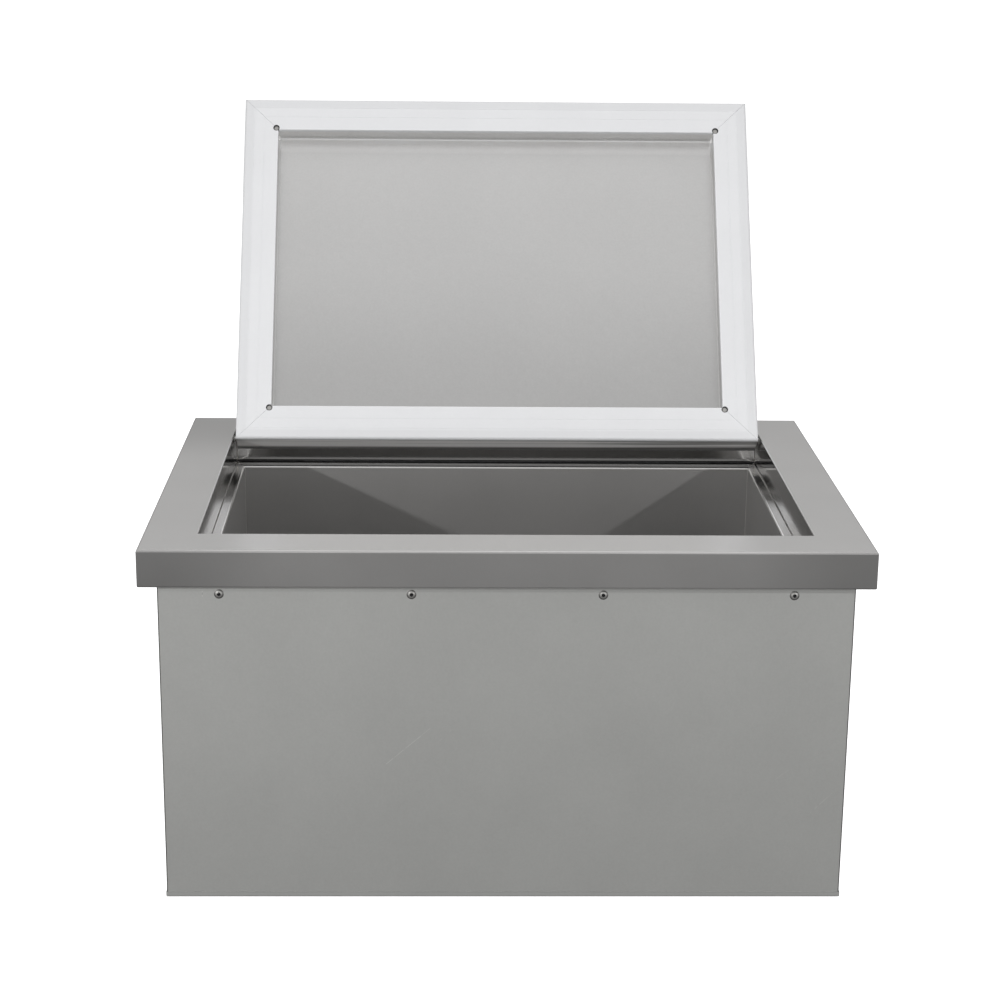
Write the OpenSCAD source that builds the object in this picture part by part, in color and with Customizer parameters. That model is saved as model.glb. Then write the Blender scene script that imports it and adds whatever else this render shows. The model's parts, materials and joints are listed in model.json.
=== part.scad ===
// Drop-in cooler for an outdoor kitchen worktop, shown with its lid leaning open.
// A foam-filled stainless box hangs in a cut-out by the hem under its wide rim. Its insulated
// lid sits in a recess in the rim and turns on two pins at the back of that recess.
// Origin: middle of the underside of the base. +X right, -Y front, +Z up, millimetres.
// The lid's pieces are drawn closed and then turned open about the hinge pins.

/* [Rim] */
// Width of the rim, side to side
rim_w = 714; // [690:1:740]
// Depth of the rim, front to back
rim_d = 554; // [535:1:580]
// Height of the skirt that hangs from the rim
skirt_h = 38; // [34:1:44]
// Width of the return hem under the skirt
hem_w = 12; // [9:0.5:14]
// Width of the rim on each side of the lid
side_band = 54; // [50:0.5:60]
// Width of the rim in front of the lid
front_band = 58; // [52:0.5:64]
// Width of the rim behind the lid
back_band = 55; // [51:0.5:60]
// Thickness of the rim's sheet
rim_sheet = 1.2; // [1:0.1:1.4]
// Outer radius of the bend between the rim's top and its skirt
skirt_bend = 2.4; // [1.8:0.1:3.5]
// Outer radius of the bend between the skirt and its hem
hem_bend = 1.8; // [1.6:0.1:2.5]
// Outer radius of the bend between the rim's top and the recess walls
rim_bend = 1.5; // [1.5:0.1:2]
// Width of the foot that the recess walls turn out on the tub's flange
foot_w = 6; // [4.5:0.5:9]
// Outer radius of the bend between the recess walls and their foot
foot_bend = 2.7; // [2.4:0.1:3.5]
// Depth of the recess that holds the lid
recess_h = 39; // [39:0.5:42]

/* [Tub] */
// Width of the ledge at each side of the tub
ledge_side = 10.5; // [8:0.5:14]
// Width of the ledge in front of the tub
ledge_front = 16; // [12:0.5:22]
// Width of the ledge behind the tub
ledge_back = 22; // [16:0.5:26]
// How far the tub's flange runs out under the recess wall
tub_tuck = 6; // [4:0.5:9]
// Thickness of the tub's sheet
tub_sheet = 1; // [0.8:0.1:1.2]
// Outer radius of the bend from ledge to tub wall
tub_bend = 2.5; // [2:0.1:3]
// Thickness of the foam under the tub
floor_foam = 49; // [42:1:60]

/* [Body] */
// Height from the base to the rim's top
total_h = 370; // [340:1:420]
// Distance from the skirt in to the body, on every side
body_inset = 17; // [15:0.5:19]
// Thickness of the body's sheet
shell_sheet = 0.8; // [0.7:0.1:1]
// Height of the lip of the base pan outside the body
base_lip_h = 5.5; // [4:0.5:9]
// Outer radius of the base pan's bottom edges
base_bend = 1.6; // [1:0.1:1.7]
// Width of the flanges at the corners and tops of the body panels
panel_flange = 12; // [9:0.5:15]
// Gap at the seam between a side panel and the front or back panel
seam_gap = 0.3; // [0.2:0.1:0.5]

/* [Support angles and rivets] */
// Thickness of the angles that carry the tub's flange
angle_sheet = 1.5; // [1.2:0.1:2]
// Height of the angles' upright leg
angle_leg = 22; // [18:1:28]
// Height of the rivets below the underside of the tub's flange
rivet_below = 9.3; // [8.5:0.1:10]
// Distance between neighbouring rivets in the front and back
rivet_pitch_wide = 186.7; // [150:0.1:195]
// Distance between neighbouring rivets in the sides
rivet_pitch_side = 150; // [110:1:165]
// Diameter of a rivet's head
rivet_head_d = 9.5; // [8:0.1:10]
// Height of a rivet's domed head
rivet_head_h = 1.3; // [1:0.1:1.6]
// Diameter of a rivet's shank
rivet_d = 4.8; // [4:0.1:5]
// Diameter of the hole that the mandrel leaves in a rivet's head
mandrel_d = 2.8; // [2:0.1:3.2]

/* [Lid] */
// Gap between the lid and the recess at each side
lid_gap_side = 2.5; // [2.3:0.1:3.5]
// Gap between the lid and the recess in front
lid_gap_front = 3; // [2.8:0.1:4.5]
// Gap between the lid and the recess behind
lid_gap_back = 6.3; // [6:0.1:7.5]
// Thickness of the lid, skin to gasket face
lid_t = 37; // [35.5:0.1:37.2]
// Thickness of the lid's sheet
lid_sheet = 0.8; // [0.6:0.1:1]
// Outer radius of the bends of the lid's skin
lid_bend = 1.5; // [1.3:0.1:2]
// Depth of the dished panel, from the frame's face
pan_depth = 21; // [17:0.5:24]
// Radius of the bend between the dished panel and its walls
pan_bend = 3; // [2:0.1:4]

/* [Gasket frame] */
// Width of the white frame strips
frame_w = 40; // [34:0.5:46]
// Thickness of the frame strips
frame_t = 5; // [4.5:0.1:6]
// Radius of the frame's outer edge
frame_edge_r = 3; // [2.5:0.1:3.5]
// Radius of the frame's inner edge
frame_lip_r = 1.2; // [0.8:0.1:1.5]
// Depth of the two grooves along each strip
groove_depth = 0.2; // [0.1:0.1:0.6]
// Gap at the mitred corners of the frame
mitre_gap = 0.2; // [0.1:0.05:0.4]
// Diameter of the hole at each inner corner of the frame
corner_hole_d = 7.2; // [6:0.1:8]
// How far the corner holes lie outside the frame's inner corner, each way
corner_hole_out = 2.3; // [1.8:0.1:3]

/* [Hinge] */
// Distance of the pins' axis in front of the lid's back edge
pivot_in = 9.4; // [9:0.1:9.6]
// Distance of the pins' axis below the lid's top
pivot_drop = 8.6; // [8.2:0.1:8.8]
// Diameter of the hinge pins
pin_d = 5; // [4:0.1:5.2]
// Wall of the nylon bushes
bush_wall = 1.1; // [0.9:0.1:1.3]
// How far a bush stands out of the lid's side
bush_stand = 1.7; // [1:0.1:1.8]
// Thickness of the plates that back the recess walls at the pins
hinge_plate_t = 2; // [1.5:0.1:3]
// Diameter of the hinge pins' heads
pin_head_d = 10; // [8:0.5:12]

/* [Handle] */
// Length of the handle bar
handle_len = 230; // [180:1:300]
// Diameter of the handle bar
handle_d = 12; // [11:0.5:16]
// Height of the bar's axis above the lid
handle_rise = 36; // [32:1:45]
// Distance of the bar's axis from the lid's front edge
handle_in = 45; // [35:1:60]
// Diameter of the handle's posts
post_d = 8; // [8:0.5:9]
// Distance of each post's axis from the end of the bar
post_in = 28; // [20:1:40]

/* [Drain] */
// Distance of the drain behind the middle of the base
drain_y = 120; // [100:1:130]
// Outer diameter of the drain's threaded pipe
drain_pipe_d = 38; // [36:0.5:42]
// Wall of the drain's pipe above the strainer
drain_wall = 3; // [2.5:0.1:3.5]
// Diameter of the drain's flange in the tub
drain_flange_d = 56; // [54:1:64]
// Wall of the drain's spigot, which takes a hose
spigot_wall = 2; // [1.5:0.1:3]
// Height of the spigot's end above the base
drain_end = 8; // [5:0.5:12]
// Diameter of the recess in the base around the drain's outlet
drain_cup_d = 90; // [86:1:100]

/* [Hidden] */
$fn = 48;
over = 1;                    // how far a cut runs past the face that it opens
seat_gap = 0.3;              // clearance of foam and of pieces that lift or turn
fit_gap = 0.05;              // radial running clearance of shafts, rivets and screws

// Heights
rim_under = total_h - rim_sheet;
skirt_bottom = total_h - skirt_h;
ledge_z = total_h - recess_h;
flange_under = ledge_z - tub_sheet;
angle_under = flange_under - angle_sheet;
rivet_z = flange_under - rivet_below;
tub_under = shell_sheet + floor_foam;
tub_floor = tub_under + tub_sheet;

// Recess, tub and body, in plan
recess_x = rim_w / 2 - side_band;
recess_front = -rim_d / 2 + front_band;
recess_back = rim_d / 2 - back_band;
tub_x = recess_x - ledge_side;
tub_front = recess_front + ledge_front;
tub_back = recess_back - ledge_back;
body_x = rim_w / 2 - body_inset;
body_y = rim_d / 2 - body_inset;
inner_x = body_x - shell_sheet;
inner_y = body_y - shell_sheet;

// Support angles stop short of the bend of the tub's flange
angle_clear = 1;
angle_x = tub_x + tub_bend + angle_clear;
angle_front = tub_front - tub_bend - angle_clear;
angle_back = tub_back + tub_bend + angle_clear;
angle_end_x = inner_x - panel_flange - 2 * angle_clear - shell_sheet;
rivet_xs = [for (i = [-1.5 : 1 : 1.5]) i * rivet_pitch_wide];
rivet_ys = [for (i = [-1 : 1]) i * rivet_pitch_side];
rivet_tail_d = 1.4 * rivet_d;
rivet_tail_h = 3;

// Lid, drawn closed
lid_x = recess_x - lid_gap_side;
lid_front = recess_front + lid_gap_front;
lid_back = recess_back - lid_gap_back;
lid_under = total_h - lid_t;
frame_top = lid_under + frame_t;
lid_ceiling = total_h - lid_sheet;
pan_x = lid_x - frame_w;
pan_front = lid_front + frame_w;
pan_back = lid_back - frame_w;
pan_z = lid_under + pan_depth;
lid_mid = (lid_front + lid_back) / 2;
lid_d = lid_back - lid_front;
pan_mid = (pan_front + pan_back) / 2;
pan_d = pan_back - pan_front;
skin_flange = 11;
pan_flange_gap = 0.5;
corner_shank_r = 1.3;
corner_shank_h = 6;
corner_web = 1.2;            // what the corner holes leave of the strips' thickness

// Hinge. The lid leans back until its skin is seat_gap from the rounded edge of the rim.
pivot_y = lid_back - pivot_in;
pivot_z = total_h - pivot_drop;
stop_y = recess_back + rim_bend - pivot_y;
stop_z = pivot_drop - rim_bend;
stop_reach = pivot_drop + rim_bend + seat_gap;
lean = acos(stop_reach / norm([stop_y, stop_z])) - atan2(stop_z, stop_y);
open_angle = 90 + lean;
pin_r = pin_d / 2;
bush_bore_r = pin_r + fit_gap;
bush_r = bush_bore_r + bush_wall;
bush_len = 21;
bush_tip = lid_x + bush_stand;
pin_short = 2.5;             // how far the pin stops short of the bush's inner end
plate_in = 17;
plate_low = 15;
pin_head_h = 3;
block_w = 20;
block_front = 10;
block_low = 10;
block_clear = 0.8;           // keeps the pivot blocks out of the skin's bends

// Handle
handle_y = lid_front + handle_in;
handle_z = total_h + handle_rise;
handle_post_x = handle_len / 2 - post_in;
bar_end_r = 2;
screw_d = 5;
screw_head_d = 9;
screw_head_h = 3;
screw_deep = 14;
stiffener_t = 1.6;
stiffener_d = 32;
stiffener_over = 18;
stiffener_x = handle_post_x + stiffener_over;

// Drain, from the tub down
drain_r = drain_pipe_d / 2;
drain_bore_r = drain_r - drain_wall;
drain_seat_r = drain_bore_r - 2;
spigot_r = drain_seat_r + spigot_wall;
drain_flange_t = 2;
drain_lip = tub_floor + drain_flange_t;
strainer_t = 1;
strainer_z = tub_floor - 4;
gasket_t = 3;
locknut_h = 8;
locknut_d = drain_flange_d + 4;
pocket_r = locknut_d / 2 + 4;
nut_room = 5;
cup_top = tub_under - gasket_t - locknut_h - nut_room;
cup_wall = 1;
spigot_top = cup_top - cup_wall - 0.8;
plug_head_r = 22;
plug_head_h = 4;
plug_knob_r = 7;
plug_knob_h = 12;

// A block between two corners
module slab(low, high) {
    translate(low) cube(high - low);
}

// A closed outline, rounded at its two top corners only
module round_top(w, h, r) {
    translate([-w / 2, 0]) square([w, h - r]);
    translate([-w / 2 + r, 0]) square([w - 2 * r, h]);
    for (s = [-1, 1]) translate([s * (w / 2 - r), h - r]) circle(r = r);
}

// A box from z = 0 with its four top edges bent to a radius and mitred at the corners
module folded_box(w, d, h, r) {
    intersection() {
        translate([-w / 2 - over, 0, 0]) rotate([90, 0, 90]) linear_extrude(w + 2 * over) round_top(d, h, r);
        translate([0, d / 2 + over, 0]) rotate([90, 0, 0]) linear_extrude(d + 2 * over) round_top(w, h, r);
    }
}

// The same box with its four bottom edges bent too, to a radius of their own
module folded_twice(w, d, h, top_r, low_r) {
    intersection() {
        folded_box(w, d, h, top_r);
        translate([0, 0, h]) mirror([0, 0, 1]) folded_box(w, d, h, low_r);
    }
}

// A rectangular cut whose top edge is rounded over to radius r
module rounded_opening(low, high, r) {
    slab([low[0], low[1], low[2]], [high[0], high[1], high[2] + over]);
    difference() {
        slab([low[0] - r, low[1] - r, high[2] - r], [high[0] + r, high[1] + r, high[2] + over]);
        for (y = [low[1] - r, high[1] + r])
            hole_x([low[0] - 2 * r, y, high[2] - r], r, high[0] - low[0] + 4 * r);
        for (x = [low[0] - r, high[0] + r])
            hole_y([x, low[1] - 2 * r, high[2] - r], r, high[1] - low[1] + 4 * r);
    }
}

// A hole along +X, +Y or +Z from a starting point
module hole_x(at, r, h) {
    translate(at) rotate([0, 90, 0]) cylinder(r = r, h = h);
}
module hole_y(at, r, h) {
    translate(at) rotate([-90, 0, 0]) cylinder(r = r, h = h);
}
module hole_z(at, r, h) {
    translate(at) cylinder(r = r, h = h);
}

// One blind rivet pointing along +Z: its head above z = 0 and its formed tail below the grip
module rivet(grip) {
    cap_r = (pow(rivet_head_d / 2, 2) + pow(rivet_head_h, 2)) / (2 * rivet_head_h);
    difference() {
        union() {
            intersection() {
                translate([0, 0, rivet_head_h - cap_r]) sphere(r = cap_r, $fn = 96);
                cylinder(d = rivet_head_d, h = rivet_head_h + over);
            }
            translate([0, 0, -grip - over]) cylinder(d = rivet_d, h = grip + over + rivet_head_h / 2);
            translate([0, 0, -grip - rivet_tail_h]) cylinder(d = rivet_tail_d, h = rivet_tail_h);
        }
        translate([0, 0, rivet_head_h / 4]) cylinder(d = mandrel_d, h = rivet_head_h + over);
    }
}

// Places of the rivets in each face, each with +Z pointing out of the body
module at_front_rivets(s) {
    for (x = rivet_xs) translate([x, s * body_y, rivet_z]) rotate([s * -90, 0, 0]) children();
}
module at_side_rivets(s) {
    for (y = rivet_ys) translate([s * body_x, y, rivet_z]) rotate([0, s * 90, 0]) children();
}
module rivet_hole() {
    grip = shell_sheet + angle_sheet;
    translate([0, 0, -grip - over]) cylinder(r = rivet_d / 2 + fit_gap, h = grip + 2 * over);
}

// Rim: top, skirt, return hem, and recess walls that end in a foot, folded from one sheet
module rim_frame() {
    color("silver") difference() {
        union() {
            translate([0, 0, skirt_bottom]) difference() {
                folded_twice(rim_w, rim_d, skirt_h, skirt_bend, hem_bend);
                translate([0, 0, rim_sheet])
                    folded_twice(rim_w - 2 * rim_sheet, rim_d - 2 * rim_sheet, skirt_h - 2 * rim_sheet,
                                 skirt_bend - rim_sheet, hem_bend - rim_sheet);
                slab([-rim_w / 2 + hem_w, -rim_d / 2 + hem_w, -over],
                     [rim_w / 2 - hem_w, rim_d / 2 - hem_w, rim_sheet + over]);
            }
            slab([-recess_x - rim_sheet, recess_front - rim_sheet, ledge_z + foot_bend],
                 [recess_x + rim_sheet, recess_back + rim_sheet, rim_under + rim_sheet / 2]);
            recess_foot();
        }
        rounded_opening([-recess_x, recess_front, ledge_z - over], [recess_x, recess_back, total_h], rim_bend);
        translate([0, 0, 2 * ledge_z]) mirror([0, 0, 1])
            rounded_opening([-recess_x, recess_front, ledge_z - over], [recess_x, recess_back, ledge_z], foot_bend);
        for (x = [-recess_x - rim_sheet - over, recess_x - over])
            hole_x([x, pivot_y, pivot_z], pin_r + fit_gap, rim_sheet + 2 * over);
    }
}

// The sheet of the recess walls' lower bend and foot, before the opening rounds its inner side
module recess_foot() {
    r = foot_bend - rim_sheet;
    top = ledge_z + foot_bend;
    slab([-recess_x - foot_w, recess_front - foot_w, ledge_z],
         [recess_x + foot_w, recess_back + foot_w, ledge_z + rim_sheet]);
    difference() {
        slab([-recess_x - foot_bend, recess_front - foot_bend, ledge_z],
             [recess_x + foot_bend, recess_back + foot_bend, top]);
        for (y = [recess_front - foot_bend, recess_back + foot_bend])
            hole_x([-recess_x - foot_bend - over, y, top], r, 2 * (recess_x + foot_bend + over));
        for (x = [-recess_x - foot_bend, recess_x + foot_bend])
            hole_y([x, recess_front - foot_bend - over, top], r,
                   recess_back - recess_front + 2 * (foot_bend + over));
    }
}

// Tub: one sheet with its flange, which shows as the ledge under the lid
module tub_liner() {
    color("dimgray") difference() {
        union() {
            slab([-recess_x - rim_sheet - tub_tuck, recess_front - rim_sheet - tub_tuck, flange_under],
                 [recess_x + rim_sheet + tub_tuck, recess_back + rim_sheet + tub_tuck, ledge_z]);
            slab([-tub_x - tub_sheet, tub_front - tub_sheet, tub_under],
                 [tub_x + tub_sheet, tub_back + tub_sheet, ledge_z - tub_bend]);
            bend_filler();
        }
        rounded_opening([-tub_x, tub_front, tub_floor], [tub_x, tub_back, ledge_z], tub_bend);
        hole_z([0, drain_y, tub_under - over], drain_r + fit_gap, tub_sheet + 2 * over);
    }
}

// The sheet of the tub's bend, before the opening rounds its upper side
module bend_filler() {
    r = tub_bend - tub_sheet;
    difference() {
        slab([-tub_x - tub_bend, tub_front - tub_bend, ledge_z - tub_bend],
             [tub_x + tub_bend, tub_back + tub_bend, ledge_z]);
        for (y = [tub_front - tub_bend, tub_back + tub_bend])
            hole_x([-tub_x - tub_bend - over, y, ledge_z - tub_bend], r, 2 * (tub_x + tub_bend + over));
        for (x = [-tub_x - tub_bend, tub_x + tub_bend])
            hole_y([x, tub_front - tub_bend - over, ledge_z - tub_bend], r,
                   tub_back - tub_front + 2 * (tub_bend + over));
    }
}

// Front panel, or the back panel when s is 1: a flat sheet with a flange at its top
module wide_panel(s) {
    x = body_x - shell_sheet - seam_gap;
    difference() {
        union() {
            mirrored_y(s) slab([-x, -body_y, shell_sheet], [x, -inner_y, rim_under]);
            mirrored_y(s) slab([-x, -body_y, rim_under - shell_sheet], [x, -inner_y + panel_flange, rim_under]);
        }
        at_front_rivets(s) rivet_hole();
    }
}

// Left panel, or the right panel when s is 1: flanges at its top and, behind the seams, at its corners
module side_panel(s) {
    y = inner_y - panel_flange - seam_gap;
    difference() {
        mirrored_x(s) union() {
            slab([-body_x, -body_y, shell_sheet], [-inner_x, body_y, rim_under]);
            slab([-body_x, -y, rim_under - shell_sheet], [-inner_x + panel_flange, y, rim_under]);
            for (t = [-1, 1]) mirrored_y(t)
                slab([-body_x, -inner_y, shell_sheet],
                     [-inner_x + panel_flange, -inner_y + shell_sheet, rim_under - shell_sheet - seam_gap]);
        }
        at_side_rivets(s) rivet_hole();
    }
}

// Children as they are for s = -1 and mirrored for s = 1
module mirrored_x(s) {
    if (s > 0) mirror([1, 0, 0]) children();
    else children();
}
module mirrored_y(s) {
    if (s > 0) mirror([0, 1, 0]) children();
    else children();
}

module front_panel() {
    color("darkgray") wide_panel(-1);
}
module back_panel() {
    color("darkgray") wide_panel(1);
}
module left_panel() {
    color("darkgray") side_panel(-1);
}
module right_panel() {
    color("darkgray") side_panel(1);
}

// Base pan: the floor that the panels stand on, with a low lip outside them
module base_pan() {
    color("gray") difference() {
        translate([0, 0, base_lip_h]) mirror([0, 0, 1])
            folded_box(2 * (body_x + shell_sheet), 2 * (body_y + shell_sheet), base_lip_h, base_bend);
        slab([-body_x, -body_y, shell_sheet], [body_x, body_y, base_lip_h + over]);
        hole_z([0, drain_y, -over], drain_cup_d / 2 - cup_wall, shell_sheet + 2 * over);
    }
}

// Foam poured round the tub, drawn back at the top to clear the angles and the rivets' tails
module body_foam() {
    x = inner_x - seat_gap;
    y = inner_y - shell_sheet - seat_gap;
    shoulder = flange_under - angle_leg - seat_gap;
    draw_in = angle_sheet + rivet_tail_h + seat_gap;
    color("khaki") difference() {
        union() {
            slab([-x, -y, shell_sheet], [x, y, shoulder]);
            slab([-x + draw_in, -y + draw_in, shoulder - over], [x - draw_in, y - draw_in, angle_under]);
        }
        slab([-tub_x - tub_sheet - seat_gap, tub_front - tub_sheet - seat_gap, tub_under],
             [tub_x + tub_sheet + seat_gap, tub_back + tub_sheet + seat_gap, ledge_z]);
        hole_z([0, drain_y, 0], drain_cup_d / 2 + seat_gap, cup_top + seat_gap);
        hole_z([0, drain_y, cup_top], pocket_r, tub_under - cup_top + over);
    }
}

// Support angle along the front, or the back when s is 1
module wide_angle(s) {
    reach = s < 0 ? angle_front : -angle_back;
    difference() {
        mirrored_y(s) union() {
            slab([-angle_end_x, -inner_y, angle_under], [angle_end_x, reach, flange_under]);
            slab([-angle_end_x, -inner_y, flange_under - angle_leg],
                 [angle_end_x, -inner_y + angle_sheet, flange_under]);
        }
        at_front_rivets(s) rivet_hole();
    }
}

// Support angle along the left side, or the right side when s is 1
module side_angle(s) {
    low = angle_front + angle_clear;
    high = angle_back - angle_clear;
    difference() {
        mirrored_x(s) union() {
            slab([-inner_x, low, angle_under], [-angle_x, high, flange_under]);
            slab([-inner_x, low, flange_under - angle_leg], [-inner_x + angle_sheet, high, flange_under]);
        }
        at_side_rivets(s) rivet_hole();
    }
}

module front_angle() {
    color("slategray") wide_angle(-1);
}
module back_angle() {
    color("slategray") wide_angle(1);
}
module left_angle() {
    color("slategray") side_angle(-1);
}
module right_angle() {
    color("slategray") side_angle(1);
}

module front_rivets() {
    color("gainsboro") at_front_rivets(-1) rivet(shell_sheet + angle_sheet);
}
module back_rivets() {
    color("gainsboro") at_front_rivets(1) rivet(shell_sheet + angle_sheet);
}
module left_rivets() {
    color("gainsboro") at_side_rivets(-1) rivet(shell_sheet + angle_sheet);
}
module right_rivets() {
    color("gainsboro") at_side_rivets(1) rivet(shell_sheet + angle_sheet);
}

// Plate that stiffens the recess wall round a hinge pin
module hinge_plate(s) {
    x = recess_x + rim_sheet;
    mirrored_x(s) difference() {
        slab([-x - hinge_plate_t, pivot_y - plate_in, pivot_z - plate_low], [-x, recess_back, rim_under]);
        hole_x([-x - hinge_plate_t - over, pivot_y, pivot_z], pin_r + fit_gap, hinge_plate_t + 2 * over);
    }
}
module left_hinge_plate() {
    color("slategray") hinge_plate(-1);
}
module right_hinge_plate() {
    color("slategray") hinge_plate(1);
}

// Hinge pin: its head bears on the plate and its shank reaches into the lid's bush
module hinge_pin(s) {
    x = recess_x + rim_sheet + hinge_plate_t;
    tip = bush_tip - bush_len + pin_short;
    mirrored_x(s) {
        hole_x([-x - pin_head_h, pivot_y, pivot_z], pin_head_d / 2, pin_head_h);
        hole_x([-x - over, pivot_y, pivot_z], pin_r, x + over - tip);
    }
}
module left_hinge_pin() {
    color("silver") hinge_pin(-1);
}
module right_hinge_pin() {
    color("silver") hinge_pin(1);
}

// Drain body: flange in the tub, seat for the strainer, threaded pipe, and spigot for a hose
module drain_body() {
    color("lightgray") difference() {
        union() {
            hole_z([0, drain_y, tub_floor], drain_flange_d / 2, drain_flange_t);
            hole_z([0, drain_y, spigot_top], drain_r, tub_floor + over - spigot_top);
            hole_z([0, drain_y, drain_end], spigot_r, spigot_top + over - drain_end);
        }
        hole_z([0, drain_y, strainer_z], drain_bore_r, drain_lip - strainer_z + over);
        hole_z([0, drain_y, drain_end - over], drain_seat_r, drain_lip - drain_end);
    }
}

// A flat ring on the drain's axis
module drain_ring(outer, inner, low, h) {
    difference() {
        hole_z([0, drain_y, low], outer, h);
        hole_z([0, drain_y, low - over], inner, h + 2 * over);
    }
}
module drain_gasket() {
    color("black") drain_ring(drain_flange_d / 2, drain_r + fit_gap, tub_under - gasket_t, gasket_t);
}
module drain_locknut() {
    color("gold") difference() {
        translate([0, drain_y, tub_under - gasket_t - locknut_h]) cylinder(d = locknut_d, h = locknut_h, $fn = 6);
        hole_z([0, drain_y, tub_under - gasket_t - locknut_h - over], drain_r + fit_gap, locknut_h + 2 * over);
    }
}

// Strainer: a thin disc with two rings of holes round a middle one
module drain_strainer() {
    hole_r = 1.6;
    ring_step = 5;
    color("silver") difference() {
        hole_z([0, drain_y, strainer_z], drain_bore_r - fit_gap, strainer_t);
        hole_z([0, drain_y, strainer_z - over], hole_r, strainer_t + 2 * over);
        for (ring = [1, 2], i = [1 : 6 * ring]) {
            a = 60 * i / ring;
            hole_z([ring * ring_step * cos(a), drain_y + ring * ring_step * sin(a), strainer_z - over],
                   hole_r, strainer_t + 2 * over);
        }
    }
}

// Cup that keeps the foam off the outlet, standing on the base pan
module drain_cup() {
    color("gray") difference() {
        hole_z([0, drain_y, shell_sheet], drain_cup_d / 2, cup_top - shell_sheet);
        hole_z([0, drain_y, 0], drain_cup_d / 2 - cup_wall, cup_top - cup_wall);
        hole_z([0, drain_y, cup_top - cup_wall - over], drain_r + seat_gap, cup_wall + 2 * over);
    }
}

// Rubber plug with a knob, which lifts straight out of the drain
module drain_plug() {
    neck = drain_lip - strainer_z - strainer_t - 1;
    head_z = drain_lip + seat_gap;
    color("black") translate([0, drain_y, 0]) {
        translate([0, 0, head_z - neck]) cylinder(r = drain_bore_r - seat_gap, h = neck + over);
        translate([0, 0, head_z]) cylinder(r = plug_head_r, h = plug_head_h);
        translate([0, 0, head_z + plug_head_h - over]) cylinder(r = plug_knob_r, h = plug_knob_h + over);
        translate([0, 0, head_z + plug_head_h + plug_knob_h / 2])
            cylinder(r = 1.3 * plug_knob_r, h = plug_knob_h / 2);
    }
}

// Turns the closed lid's pieces open until the lid leans on its stop
module opened() {
    translate([0, pivot_y, pivot_z]) rotate([-open_angle, 0, 0]) translate([0, -pivot_y, -pivot_z]) children();
}

// Lid skin: top and sides with a narrow flange turned in behind the frame strips
module lid_skin() {
    h = total_h - frame_top;
    color("silver") opened() difference() {
        union() {
            translate([0, lid_mid, frame_top]) difference() {
                folded_box(2 * lid_x, lid_d, h, lid_bend);
                translate([0, 0, -over])
                    folded_box(2 * (lid_x - lid_sheet), lid_d - 2 * lid_sheet, h - lid_sheet + over,
                               lid_bend - lid_sheet);
            }
            difference() {
                slab([-lid_x, lid_front, frame_top], [lid_x, lid_back, frame_top + lid_sheet]);
                slab([-lid_x + skin_flange, lid_front + skin_flange, frame_top - over],
                     [lid_x - skin_flange, lid_back - skin_flange, frame_top + lid_sheet + over]);
            }
        }
        hole_x([-lid_x - over, pivot_y, pivot_z], bush_r + fit_gap, lid_sheet + 2 * over);
        hole_x([lid_x - lid_sheet - over, pivot_y, pivot_z], bush_r + fit_gap, lid_sheet + 2 * over);
        for (s = [-1, 1])
            hole_z([s * handle_post_x, handle_y, lid_ceiling - over], screw_d / 2 + fit_gap, lid_sheet + 2 * over);
    }
}

// Dished inner panel, with a flange behind the frame strips
module lid_panel() {
    wall_top = pan_z - frame_top;
    reach = lid_x - skin_flange - pan_flange_gap;
    color("silver") opened() difference() {
        union() {
            translate([0, pan_mid, frame_top])
                folded_box(2 * (pan_x + lid_sheet), pan_d + 2 * lid_sheet, wall_top + lid_sheet,
                           pan_bend + lid_sheet);
            slab([-reach, lid_front + skin_flange + pan_flange_gap, frame_top],
                 [reach, lid_back - skin_flange - pan_flange_gap, frame_top + lid_sheet]);
        }
        translate([0, pan_mid, frame_top - over]) folded_box(2 * pan_x, pan_d, wall_top + over, pan_bend);
        at_corner_holes()
            translate([0, 0, frame_top - over]) cylinder(r = corner_shank_r + fit_gap, h = lid_sheet + 2 * over);
    }
}

// Foam in the lid, cut round the panel, the pivot blocks and the handle's stiffener
module lid_foam() {
    low = frame_top + lid_sheet;
    inset = lid_sheet + seat_gap;
    block_x = lid_x - lid_sheet - block_clear - block_w - seat_gap;
    color("khaki") opened() difference() {
        translate([0, lid_mid, low])
            folded_box(2 * (lid_x - inset), lid_d - 2 * inset, lid_ceiling - low, lid_bend);
        slab([-pan_x - inset, pan_front - inset, low - over], [pan_x + inset, pan_back + inset, pan_z + inset]);
        at_corner_holes() translate([0, 0, low - over]) cylinder(r = corner_shank_r + seat_gap, h = corner_shank_h);
        for (s = [-1, 1]) mirrored_x(s)
            slab([-lid_x, pivot_y - block_front - seat_gap, pivot_z - block_low - seat_gap],
                 [-block_x, lid_back, total_h]);
        slab([-stiffener_x - seat_gap, handle_y - stiffener_d / 2 - seat_gap,
              lid_ceiling - stiffener_t - screw_head_h - seat_gap],
             [stiffener_x + seat_gap, handle_y + stiffener_d / 2 + seat_gap, total_h]);
    }
}

// The four inner corners of the frame, where a rivet sits in each mitre
module at_corner_holes() {
    for (x = [-pan_x - corner_hole_out, pan_x + corner_hole_out],
         y = [pan_front - corner_hole_out, pan_back + corner_hole_out])
        translate([x, y, 0]) children();
}

// Cross-section of a frame strip: outer edge at x = 0, gasket face at y = 0
module strip_profile() {
    groove_w = 1.6;
    difference() {
        intersection() {
            square([frame_w, frame_t]);
            union() {
                translate([0, frame_edge_r]) square([frame_w / 2, frame_t]);
                translate([frame_edge_r, frame_edge_r]) circle(r = frame_edge_r);
                translate([frame_edge_r, 0]) square([frame_w - frame_edge_r - frame_lip_r, frame_t]);
                translate([frame_w - frame_lip_r, frame_lip_r]) circle(r = frame_lip_r);
                translate([frame_w / 2, frame_lip_r]) square([frame_w / 2, frame_t]);
            }
        }
        for (share = [0.3, 0.6])
            translate([share * frame_w - groove_w / 2, -over]) square([groove_w, over + groove_depth]);
    }
}

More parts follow.
